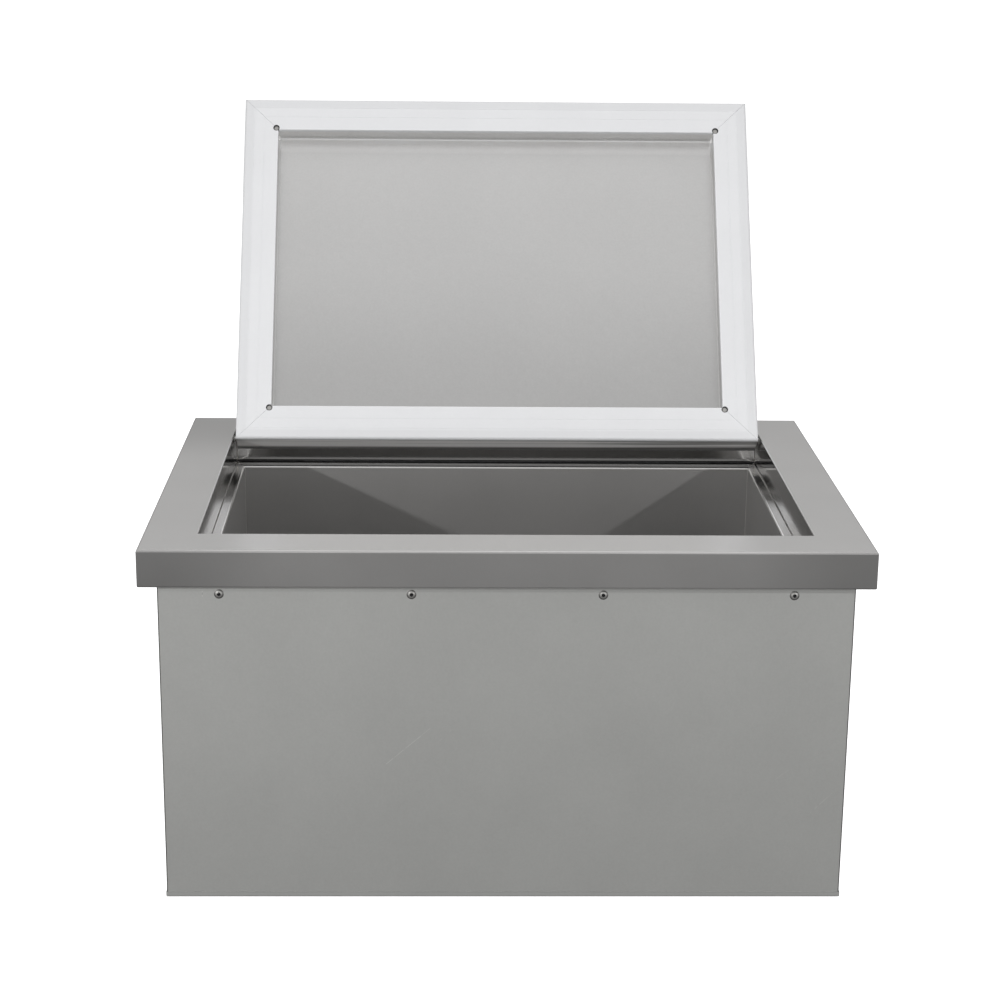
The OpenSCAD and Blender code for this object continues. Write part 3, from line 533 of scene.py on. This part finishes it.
def ledge_mask(tree):
    """1 on the tub's ledge and 0 on its walls and floor."""
    return remap(tree, split(tree, here(tree))["Z"], LEDGE_UNDER - FOLD_BLEND, LEDGE_UNDER + FOLD_BLEND)


def ledge_tone(tree):
    """Painted highlight on the folded edge of the ledge, and painted shade on its flat, darkest by the
    hinge.
    """
    y, z = coordinates(tree, here(tree), "YZ")
    flat = remap(tree, z, LEDGE - 0.0004, LEDGE - 0.0001)
    shaded_flat = remap(tree, y, *SHADED_LEDGE_Y, FRONT_LEDGE, SHADED_LEDGE)
    fold_highlight = remap(tree, z, LEDGE_UNDER - FOLD_BLEND, LEDGE_UNDER, 1.0, LEDGE_HIGHLIGHT)
    return maths(tree, "MULTIPLY_ADD", flat, maths(tree, "SUBTRACT", shaded_flat, fold_highlight), fold_highlight)


def rivet_ring_shade(tree):
    """Painted shade: the steep outer ring of a body rivet's head is darker than its crown."""
    outside = maths(tree, "MAXIMUM", *far_out(tree, BODY_HALF))
    ring = remap(tree, outside, *RING_OUT, RING_SHADE, 1.0)
    on_lid = remap(tree, split(tree, here(tree))["Z"], 0.34, 0.35)
    return maths(tree, "MAXIMUM", ring, on_lid)


def cut_edge_mask(tree):
    """1 on the cut ends of the side panels, which show as a thin line at each corner of the body."""
    return remap(tree, maths(tree, "MINIMUM", *far_out(tree, PANEL_EDGE)), -0.0001, 0.0001)


def lip_seam_shade_mask(tree):
    """1 on the top edge of the base pan's lip, which the base steel darkens as painted shade of the seam
    above it.
    """
    return remap(tree, split(tree, here(tree))["Z"], LIP_EDGE - 0.0001, LIP_EDGE + 0.0001)


print("masks and tones of rim, tub, rivets and body ready, folds blend over", FOLD_BLEND)

# %% [markdown]
# The lid is open in the model, so its masks first turn the point being shaded back about the hinge,
# to where it is with the lid shut. Then upright rectangles and plain heights work on the lid as well.

# %% Masks and tones of the lid
EDGE_DEPTH, FILM_DEPTH = (0.0012, 0.0004), (0.001, 0.0004)
STREAK_STRETCH, FILM_METAL = (2.2, 2.2, 120.0), 0.05
DISH_BEND, BRIGHT_RISE, BRIGHT_FALL = (-0.0022, -0.0008), (-0.0205, -0.0065), (-0.0018, -0.001)
BRIGHT_GAIN, HINGE_END_Y, HINGE_END_TONE, FRONT_HALF_Y = 0.48, (-0.02, 0.17), 0.9, (-0.02, 0.0)
FOLD_IN, FOLD_TONE, LIP_IN, LIP_HIGHLIGHT, HOLE_SHADE = (-0.013, -0.009), 0.94, (-0.0394, -0.0386), 1.12, 0.25


def as_shut(tree):
    """The point being shaded on the lid, moved to where it is with the lid shut."""
    inputs = {"Vector": here(tree), "Center": HINGE_POINT, "Angle": OPEN_TURN}
    return add(tree, "ShaderNodeVectorRotate", inputs, rotation_type="X_AXIS").outputs[0]


def from_lid_middle(tree):
    """X and Y of the point being shaded, from the middle of the shut lid."""
    x, y = coordinates(tree, as_shut(tree), "XY")
    return x, maths(tree, "SUBTRACT", y, LID_MIDDLE_Y)


def lid_edge_mask(tree):
    """1 on the lid's edges and 0 on its outer face."""
    height = split(tree, as_shut(tree))["Z"]
    return remap(tree, height, *(LID_TOP - depth for depth in EDGE_DEPTH), 1.0, 0.0)


def film_mask(tree):
    """1 on the lid's back edge, under its clear film, and 0 elsewhere."""
    return remap(tree, split(tree, as_shut(tree))["Y"], *(LID_BACK - depth for depth in FILM_DEPTH))


def film_reflection_streaks(tree):
    """Painted reflections: long, light streaks in the film, which ends about a centimetre short of the
    lid's outer face.
    """
    place = as_shut(tree)
    streaks = noise_at(tree, vectors(tree, "MULTIPLY", place, STREAK_STRETCH), 1.0, 2.0)
    end = remap(tree, split(tree, place)["Z"], FILM_TOP, FILM_TOP + 0.002, 1.0, 0.5)
    film = maths(tree, "MULTIPLY", remap(tree, streaks, 0.42, 0.54, 0.7, 1.6), end)
    return maths(tree, "MULTIPLY_ADD", maths(tree, "SUBTRACT", film, 1.0), film_mask(tree), 1.0)


def film_metal(tree):
    """How metallic the lid's steel stays: hardly at all under the film."""
    return remap(tree, film_mask(tree), 0.0, 1.0, 1.0, FILM_METAL)


def dish_edge_highlight_mask(tree):
    """1 on the walls and bends of the lid's dish and 0 on its flat floor. The panel steel is lightened
    inside it: painted light on the walls, a painted highlight on the bend.
    """
    past = maths(tree, "MAXIMUM", *past_half(tree, from_lid_middle(tree), DISH_HALF))
    return remap(tree, past, *DISH_BEND)


def dish_tone(tree):
    """Painted light: a band along the front bend is lightened where the dish's wall shades the panel. The
    panel is also darker towards the hinge.
    """
    x, y = from_lid_middle(tree)
    past_end = past_half(tree, (x, y), DISH_HALF)[1]
    rise = remap(tree, past_end, *BRIGHT_RISE, smooth=False)
    fall = remap(tree, past_end, *BRIGHT_FALL, 1.0, 0.0)
    in_front = remap(tree, y, *FRONT_HALF_Y, 1.0, 0.0)
    bright = maths(tree, "MULTIPLY", maths(tree, "MULTIPLY", rise, fall), in_front)
    towards_hinge = remap(tree, y, *HINGE_END_Y, 1.0, HINGE_END_TONE)
    return maths(tree, "MULTIPLY", towards_hinge, maths(tree, "MULTIPLY_ADD", bright, BRIGHT_GAIN, 1.0))


def strip_tone(tree):
    """The strips' outer fold is a little darker; their inner lip is lighter, a painted highlight; their
    corner holes are darker, painted shade.
    """
    place = from_lid_middle(tree)
    outside = maths(tree, "MAXIMUM", *past_half(tree, place, LID_HALF))
    outer = remap(tree, outside, *FOLD_IN, 1.0, FOLD_TONE)
    lip = remap(tree, outside, *LIP_IN, LIP_HIGHLIGHT, 1.0)
    across, along = past_half(tree, place, CORNER_HOLE)
    square = maths(tree, "MULTIPLY_ADD", across, across, maths(tree, "MULTIPLY", along, along))
    hole = remap(tree, maths(tree, "SQRT", square), HOLE_RADIUS, HOLE_RADIUS + 0.0003, HOLE_SHADE, 1.0)
    return maths(tree, "MULTIPLY", maths(tree, "MULTIPLY", outer, lip), hole)


print("masks and tones of the lid ready, it stands open by", round(math.degrees(OPEN_TURN), 2), "degrees")

# %% [markdown]
# With the masks, the sheet finishes follow. Their colours lean a little to yellow, as stainless steel
# does under white light. The front panel carries four hairlines, where something slid along it in the
# workshop, and a small nick beside the left rivet. All show in the photograph on a close look. Each
# is a start and an end, in X and Z, and how much lighter or darker it is.

# %% Sheet finishes
FRONT_FACE = -BODY_HALF[1]
FRONT_MARKS = (
    ((-0.1185, 0.144), (-0.0737, 0.1829), 0.2),
    ((-0.0654, 0.1688), (-0.0545, 0.1795), 0.09),
    ((0.3052, 0.0902), (0.3275, 0.1132), 0.12),
    ((0.2699, 0.1278), (0.289, 0.1429), 0.06),
    ((-0.2961, 0.3215), (-0.2961, 0.3205), -0.25),
    ((-0.2961, 0.3236), (-0.2961, 0.323), 0.25),
    ((-0.2962, 0.3188), (-0.2962, 0.3182), 0.3),
)
hairlines = [
    ((start_x, FRONT_FACE, start_z), (end_x, FRONT_FACE, end_z), strength)
    for (start_x, start_z), (end_x, end_z), strength in FRONT_MARKS
]
BODY_COLOUR = (0.63, 0.633, 0.615)
steel("rim_steel", (0.62, 0.612, 0.603), 0.33, grain=1100.0, swing=0.04, depth=3e-6,
      mask=recess_mask, masked=(0.96, 0.12), tones=[foot_highlight_tone, skirt_end_shade, corner_shade_tone])
# The tub's steel is darker than the other sheets: painted shade inside the tub. The ledge mask lifts the
# ledge back up.
steel("tub_steel", (0.42, 0.414, 0.407), 0.5, grain=600.0, swing=0.05,
      mask=ledge_mask, masked=(1.5, 0.12), tones=[ledge_tone])
steel("lid_steel", (0.62, 0.615, 0.605), 0.28, grain=1300.0, stretch=(0.05, 1, 1), swing=0.05,
      mask=lid_edge_mask, masked=(1.0, 0.22), tones=[film_reflection_streaks], metallic=film_metal)
steel("body_steel", BODY_COLOUR, 0.52, grain=380.0, swing=0.05, patch=0.015,
      mask=cut_edge_mask, masked=(0.4, 0.5), lines=hairlines)
steel("base_steel", BODY_COLOUR, 0.52, grain=380.0, swing=0.05, patch=0.015,
      mask=lip_seam_shade_mask, masked=(0.55, 0.5))
steel("lid_panel_steel", (0.676, 0.672, 0.666), 0.36, grain=420.0, depth=8e-6,
      mask=dish_edge_highlight_mask, masked=(1.4, 0.6), tones=[dish_tone])
steel("rivet_steel", (0.46, 0.455, 0.44), 0.55, grain=1500.0, swing=0.12, tones=[rivet_ring_shade])
steel("tub_weld_steel", (0.66, 0.65, 0.63), 0.4, grain=1500.0, swing=0.2)
steel("weld_steel", (0.36, 0.345, 0.32), 0.3, grain=1500.0, swing=0.3, patch=0.1)
# Near-black steel for the rivet stems: painted shade in the rivets' holes.
steel("stem_black", (0.03, 0.03, 0.032), 0.5, grain=1800.0, swing=0.3, depth=2e-5)
steel("handle_steel", (0.64, 0.635, 0.62), 0.22, grain=900.0, stretch=(0.06, 1, 1), depth=6e-6)
print("steels:", len(finishes))

# %% [markdown]
# The plastics, rubber, foam, brass and zinc. The frame's strips are extruded vinyl: nearly white,
# slightly waxy, with a very faint mottle. The other finishes are hidden or small, but each has its
# own colour and skin.

# %% Recipe for plastics and other skins
SKIN_CLOUDS, SKIN_DRIFT = 14.0, 0.06


def skin_finish(name, colour, rough, grain, swing, depth, metallic=0.0, patch=0.05, tones=()):
    """Makes a finish whose colour and bump drift with the same mottle, for all that isn't sheet steel."""
    finish, tree, shader = start_finish(name)
    shader.inputs["Metallic"].default_value = metallic
    cloud = use_group(tree, clouds, Scale=SKIN_CLOUDS)["Tone"]
    skin = use_group(tree, mill_mottle, Scale=grain)
    drift = maths(tree, "MULTIPLY_ADD", cloud, patch, 1 - patch / 2)
    level = maths(tree, "MULTIPLY", drift, maths(tree, "MULTIPLY_ADD", skin["Tone"], swing, 1 - swing / 2))
    for tone in tones:
        level = maths(tree, "MULTIPLY", level, tone(tree))
    join(tree, shade(tree, colour, level), shader.inputs["Base Color"])
    shine = maths(tree, "MULTIPLY_ADD", skin["Tone"], SKIN_DRIFT, rough - SKIN_DRIFT / 2)
    join(tree, shine, shader.inputs["Roughness"])
    bump(tree, shader, skin["Height"], depth)
    finishes[name] = finish


skin_finish("frame_white", (0.76, 0.764, 0.777), 0.35, 160.0, 0.015, 2e-5, patch=0.02, tones=[strip_tone])
skin_finish("nylon", (0.83, 0.83, 0.81), 0.4, 500.0, 0.03, 1e-5)
skin_finish("sealant", (0.93, 0.93, 0.92), 0.45, 260.0, 0.05, 6e-5)
skin_finish("foam", (0.72, 0.6, 0.36), 0.85, 700.0, 0.22, 3e-4)
skin_finish("black_rubber", (0.028, 0.028, 0.03), 0.55, 900.0, 0.2, 2e-5)
skin_finish("brass", (0.62, 0.45, 0.2), 0.3, 900.0, 0.1, 1e-5, metallic=1.0)
skin_finish("galvanised", (0.55, 0.57, 0.59), 0.45, 90.0, 0.25, 1e-5, metallic=1.0)
print("finishes:", len(finishes))

# %% [markdown]
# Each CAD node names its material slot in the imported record, so the finishes go on by slot. Nothing
# is moved: only the material of each node changes.

# %% Dress the CAD nodes
slot_of = {part["node"]: part["material_slot"] for part in frame["record"]["subparts"]}
for node_name, carried in frame["nodes"].items():
    carried.data.materials.clear()
    carried.data.materials.append(finishes[slot_of[node_name]])
print("dressed:", len(slot_of), "nodes")

# %% [markdown]
# The lid's panel faces the lamps, so from some sides they would burn a white hole in it. A
# photographer keeps a lamp off such a surface with a black card, a flag. Here light linking does the
# same: a collection names what the lamps leave out, and everything else is lit as before.

# %% Flag the lid's panel
FLAGGED = "lid_panel"
flags = bpy.data.collections.new("kept_from_lamps")
flags.objects.link(frame["nodes"][FLAGGED])
for flagged in flags.collection_objects:
    flagged.light_linking.link_state = "EXCLUDE"
for lamp in lamps:
    lamp.light_linking.receiver_collection = flags

# %% [markdown]
# What the CAD model leaves out is added as small pieces of mesh. Each is built point by point with
# bmesh in metres, in the frame of the whole model, and rides on the body that carries it, so it moves
# with the lid or stays with the box. The lid's washers and welds are worked out as if it were shut,
# where its sizes are plain, and are then turned open about the hinge.

# %% Helpers for pieces
OPEN_LID = (
    Matrix.Translation(HINGE_POINT)
    @ Matrix.Rotation(-OPEN_TURN, 4, "X")
    @ Matrix.Translation(-Vector(HINGE_POINT))
)
STEEP = 0.9


def carry(name, mesh_work, body, slot_name, finish=None, place=None):
    """Turns finished bmesh work into a smooth piece that rides on a body."""
    if place is not None:
        mesh_work.transform(place)
    bmesh.ops.recalc_face_normals(mesh_work, faces=mesh_work.faces)
    mesh = bpy.data.meshes.new(name)
    mesh_work.to_mesh(mesh)
    mesh_work.free()
    for face in mesh.polygons:
        face.use_smooth = True
    piece = bpy.data.objects.new(name, mesh)
    bpy.context.scene.collection.objects.link(piece)
    mesh.materials.append(finishes[finish or slot_name])
    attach(piece, body)
    print(name, "on", body, "with", len(mesh.polygons), "faces")
    return piece


def lump(point, size, amount):
    """A steady, repeatable unevenness: noise at a point, times an amount."""
    return amount * noise.noise(Vector(point) / size)


def side_of(along):
    """A level direction square to a path, or any square direction where the path is steep."""
    if abs(along.z) > STEEP:
        return along.orthogonal().normalized()
    return along.cross(Vector((0, 0, 1))).normalized()


def bead(mesh_work, path, radius, uneven=0.12, cell=0.004, sides=10, closed=False):
    """A round bead along a path, a little thicker here and thinner there."""
    points = [Vector(p) for p in path]
    count = len(points)
    rings = []
    for i, point in enumerate(points):
        before = points[i - 1] if i or closed else point
        after = points[(i + 1) % count] if i < count - 1 or closed else point
        along = (after - before).normalized()
        side = side_of(along)
        rise = along.cross(side)
        ring = []
        for k in range(sides):
            angle = 2 * math.pi * k / sides
            out = math.cos(angle) * side + math.sin(angle) * rise
            reach = radius * (1 + lump(point + out * radius, cell, uneven))
            ring.append(mesh_work.verts.new(point + out * reach))
        rings.append(ring)
    for a, b in zip(rings, rings[1:] + (rings[:1] if closed else [])):
        for k in range(sides):
            mesh_work.faces.new((a[k], a[(k + 1) % sides], b[(k + 1) % sides], b[k]))
    if not closed:
        mesh_work.faces.new(rings[0])
        mesh_work.faces.new(rings[-1])


def spin(mesh_work, centre, outward, profile, sides=32, uneven=0.0, cell=0.001):
    """Turns a profile of (radius, height) pairs about an axis that points outward from a centre."""
    centre, axis = Vector(centre), Vector(outward).normalized()
    side = axis.orthogonal().normalized()
    rise = axis.cross(side)
    rings = []
    for radius, height in profile:
        ring = []
        for k in range(sides if radius > 0 else 1):
            angle = 2 * math.pi * k / sides
            place = centre + radius * (math.cos(angle) * side + math.sin(angle) * rise)
            ring.append(mesh_work.verts.new(place + axis * (height + lump(place, cell, uneven))))
        rings.append(ring)
    for a, b in zip(rings, rings[1:]):
        for k in range(sides):
            corners = [a[k % len(a)], a[(k + 1) % len(a)], b[(k + 1) % len(b)], b[k % len(b)]]
            corners = list(dict.fromkeys(corners))
            if len(corners) > 2:
                mesh_work.faces.new(corners)


def steps(start, end, count):
    """Evenly spaced points from one place to another, both ends kept."""
    start, end = Vector(start), Vector(end)
    return [start.lerp(end, i / count) for i in range(count + 1)]


print("helpers for pieces ready, the lid's handle side goes to", OPEN_LID @ Vector((0, LID_FRONT, LID_TOP)))

# %% [markdown]
# The seam of the recess. The walls of the recess turn out at their foot and rest on the tub's ledge.
# That joint would hold water, so it is filled with a bead of dark sealing compound, which shows as a
# black line round the recess and is also painted shade for the crevice under the walls' foot. A swept
# tube with a little noise looks like compound pressed in by hand; a perfect tube would look machined.

# %% Recess seam
SEAM_OUT, SEAM_RISE, SEAM_RADIUS, SEAM_CORNER = 0.0019, 0.0004, 0.0009, 0.0022


def round_path(side, front, back, height, corner, spacing=0.006):
    """A closed path round a rectangle with rounded corners, at one height."""
    turns = (((side, back), 0), ((-side, back), 90), ((-side, front), 180), ((side, front), 270))
    corners = []
    for (x, y), first in turns:
        middle = Vector((x - math.copysign(corner, x), y - math.copysign(corner, y), height))
        for angle in (math.radians(first + turn) for turn in range(0, 91, 15)):
            corners.append(middle + corner * Vector((math.cos(angle), math.sin(angle), 0)))
    path = []
    for a, b in zip(corners, corners[1:] + corners[:1]):
        path += steps(a, b, max(1, round((b - a).length / spacing)))[:-1]
    return path


work = bmesh.new()
seam_ends = (RECESS_FRONT - SEAM_OUT, RECESS_BACK + SEAM_OUT)
seam_path = round_path(RECESS_SIDE + SEAM_OUT, *seam_ends, LEDGE + SEAM_RISE, SEAM_CORNER)
bead(work, seam_path, SEAM_RADIUS, uneven=0.2, cell=0.012, closed=True)
carry("recess_seam", work, "cooler_body", "black_rubber")

# %% [markdown]
# Welds. The rim and the tub are folded from flat sheet, so each has four corners where two folded
# edges meet. They are closed with a thin weld that is ground back, which leaves a fine line down
# each corner, darker in the recess and lighter in the tub, where it also crosses the ledge. Only the
# line's shape has to be right, so a slim bead follows the corner.

# %% Corner welds
FOOT_BEND, TUB_BEND = 0.0027, 0.0025
RIM_FACE, WELD_STEP = 0.3688, 0.005
RECESS_WELD, TUB_WELD = 0.0005, 0.00045
TUB_SIDE, TUB_FRONT, TUB_BACK, TUB_FLOOR = 0.2925, -0.203, 0.2, 0.0508
CORNER_SIGNS = ((-1, -1), (-1, 1), (1, -1), (1, 1))


def corner_point(sx, sy, side, front, back, out, height):
    """A corner of a rectangle, moved outward on both axes, at a height."""
    return Vector((sx * (side + out), (back + out) if sy > 0 else (front - out), height))


def bend_out(rise, radius):
    """How far out a quarter bend has gone when it is this far past its start."""
    return radius - math.sqrt(max(radius * radius - rise * rise, 0))


work = bmesh.new()
for sx, sy in CORNER_SIGNS:
    recess = (RECESS_SIDE, RECESS_FRONT, RECESS_BACK)
    upright = [corner_point(sx, sy, *recess, 0, RIM_FACE - WELD_STEP * i) for i in range(7)]
    foot = [corner_point(sx, sy, *recess, bend_out(FOOT_BEND * s, FOOT_BEND), LEDGE + FOOT_BEND * (1 - s))
            for s in (0.0, 0.35, 0.6, 0.8, 0.93)]
    bead(work, upright + foot, RECESS_WELD, cell=0.002)
carry("recess_corner_welds", work, "cooler_body", "rim_steel", "weld_steel")

work = bmesh.new()
for sx, sy in CORNER_SIGNS:
    tub = (TUB_SIDE, TUB_FRONT, TUB_BACK)
    low, high = (corner_point(sx, sy, *tub, 0, z) for z in (TUB_FLOOR, LEDGE - TUB_BEND))
    upright = steps(low, high, 60)
    bend = [corner_point(sx, sy, *tub, bend_out(TUB_BEND * s, TUB_BEND), LEDGE - TUB_BEND * (1 - s))
            for s in (0.3, 0.6, 0.85, 1.0)]
    outer = corner_point(sx, sy, RECESS_SIDE, RECESS_FRONT, RECESS_BACK, 0.0015, LEDGE)
    bead(work, upright + bend + steps(bend[-1], outer, 8)[1:], TUB_WELD, cell=0.002)
carry("tub_corner_welds", work, "cooler_body", "tub_steel", "tub_weld_steel")

# %% [markdown]
# Blind rivets. A blind rivet is pulled up by a steel stem, which snaps off inside the head and leaves
# a ragged end in the middle. The CAD rivets have the hole for it. The stems are turned profiles with a
# rough face, each with a dark rim round it. Stem and rim are near black: painted shade in the hole and at
# its edge.

# %% Rivet stems
RIVET_HEIGHT, RIVET_TOP = 0.3207, 0.00119
WIDE_PITCH, SIDE_PITCH = 0.1867, 0.15
STEM_PROFILE = ((0, -0.0006), (0.0005, -0.00055), (0.001, -0.0007), (0.00137, -0.00045), (0.00137, -0.0001),
                (0.0015, 0.00006), (0.0018, 0.00004), (0.0019, -0.0002))


def stems(name, seats):
    """The broken stems of one panel's rivets. Each seat is a place on the panel and the way out of it."""
    work = bmesh.new()
    for seat, outward in seats:
        top = Vector(seat) + Vector(outward) * RIVET_TOP
        spin(work, top, outward, STEM_PROFILE, sides=24, uneven=0.00008, cell=0.0007)
    carry(name, work, "cooler_body", "rivet_steel", "stem_black")


wide_places = [WIDE_PITCH * i for i in (-1.5, -0.5, 0.5, 1.5)]
side_places = [SIDE_PITCH * i for i in (-1, 0, 1)]
for name, out in (("front_rivet_stems", -1), ("back_rivet_stems", 1)):
    stems(name, [((x, out * BODY_HALF[1], RIVET_HEIGHT), (0, out, 0)) for x in wide_places])
for name, out in (("left_rivet_stems", -1), ("right_rivet_stems", 1)):
    stems(name, [((out * BODY_HALF[0], y, RIVET_HEIGHT), (out, 0, 0)) for y in side_places])

# %% [markdown]
# The lid's outer face. The handle stands on two posts, and where each meets the sheet there is a thin
# stainless washer. The lid's own corners are welded and ground like the rim's. Both are built with
# the lid shut and then turned open.

# %% Lid details
POST_X, POST_Y = 0.087, -0.171
WASHER_PROFILE = ((0.00405, 0.0), (0.00405, 0.0009), (0.0046, 0.0011), (0.0078, 0.0009), (0.0083, 0.0004),
                  (0.0084, 0.0))
LID_WELD_HIGH, LID_WELD_LOW = 0.3686, 0.3385

work = bmesh.new()
for x in (-POST_X, POST_X):
    spin(work, (x, POST_Y, LID_TOP), (0, 0, 1), WASHER_PROFILE, sides=40)
carry("handle_washers", work, "lid", "handle_steel", place=OPEN_LID)

work = bmesh.new()
for sx, sy in CORNER_SIGNS:
    lid = (LID_SIDE, LID_FRONT, LID_BACK)
    high = corner_point(sx, sy, *lid, -0.00055, LID_WELD_HIGH)
    low = corner_point(sx, sy, *lid, -0.00025, LID_WELD_LOW)
    bead(work, steps(high, low, 10), RECESS_WELD, cell=0.002)
carry("lid_corner_welds", work, "lid", "lid_steel", "weld_steel", place=OPEN_LID)

# %% [markdown]
# Sealant. Two dabs of white sealant close the upper corners of the dished panel. They were pressed in
# with a finger, so each is a flattened, uneven lump. The CAD dabs are smooth, so these replace them,
# at the places the model gives for the open lid.

# %% Sealant dabs
LUMP_OUT, LUMP_RADII = 0.0005, Vector((0.0028, 0.0024, 0.0032))
dab_low, dab_high = (Vector(corner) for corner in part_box("sealant_dabs"))
work = bmesh.new()
for sx, stretch in ((-1, 0.8), (1, 1.0)):
    made = bmesh.ops.create_icosphere(work, subdivisions=4, radius=1.0)["verts"]
    middle = (dab_low + dab_high) / 2
    middle.x = sx * (dab_high.x + LUMP_OUT)
    radii = LUMP_RADII * Vector((stretch, 1, 1))
    for vert in made:
        swell = 1 + lump(vert.co + Vector((sx, 0, 0)), 0.7, 0.35)
        vert.co = middle + vert.co * radii * swell
dabs = carry("sealant_lumps", work, "lid", "sealant")
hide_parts("sealant_dabs")

# %% [markdown]
# The drain. Its outlet carries a pipe thread, which only shows from underneath through the open cup
# in the base. A thread is one ridge wound round the pipe, so a helix of points swept with a bead
# gives it.

# %% Outlet thread
DRAIN_Y, OUTLET_RADIUS = 0.12, 0.016
THREAD_LOW, THREAD_HIGH, THREAD_PITCH = 0.0095, 0.0305, 0.0023
THREAD_SUNK, THREAD_RIDGE, TURN_STEPS = 0.0001, 0.0006, 36
turns = (THREAD_HIGH - THREAD_LOW) / THREAD_PITCH
helix = []
for i in range(round(turns * TURN_STEPS) + 1):
    angle = 2 * math.pi * i / TURN_STEPS
    around = Vector((math.cos(angle), math.sin(angle), 0)) * (OUTLET_RADIUS - THREAD_SUNK)
    helix.append(Vector((0, DRAIN_Y, THREAD_LOW + THREAD_PITCH * i / TURN_STEPS)) + around)
work = bmesh.new()
bead(work, helix, THREAD_RIDGE, uneven=0.0, sides=6)
carry("outlet_thread", work, "cooler_body", "drain_steel")
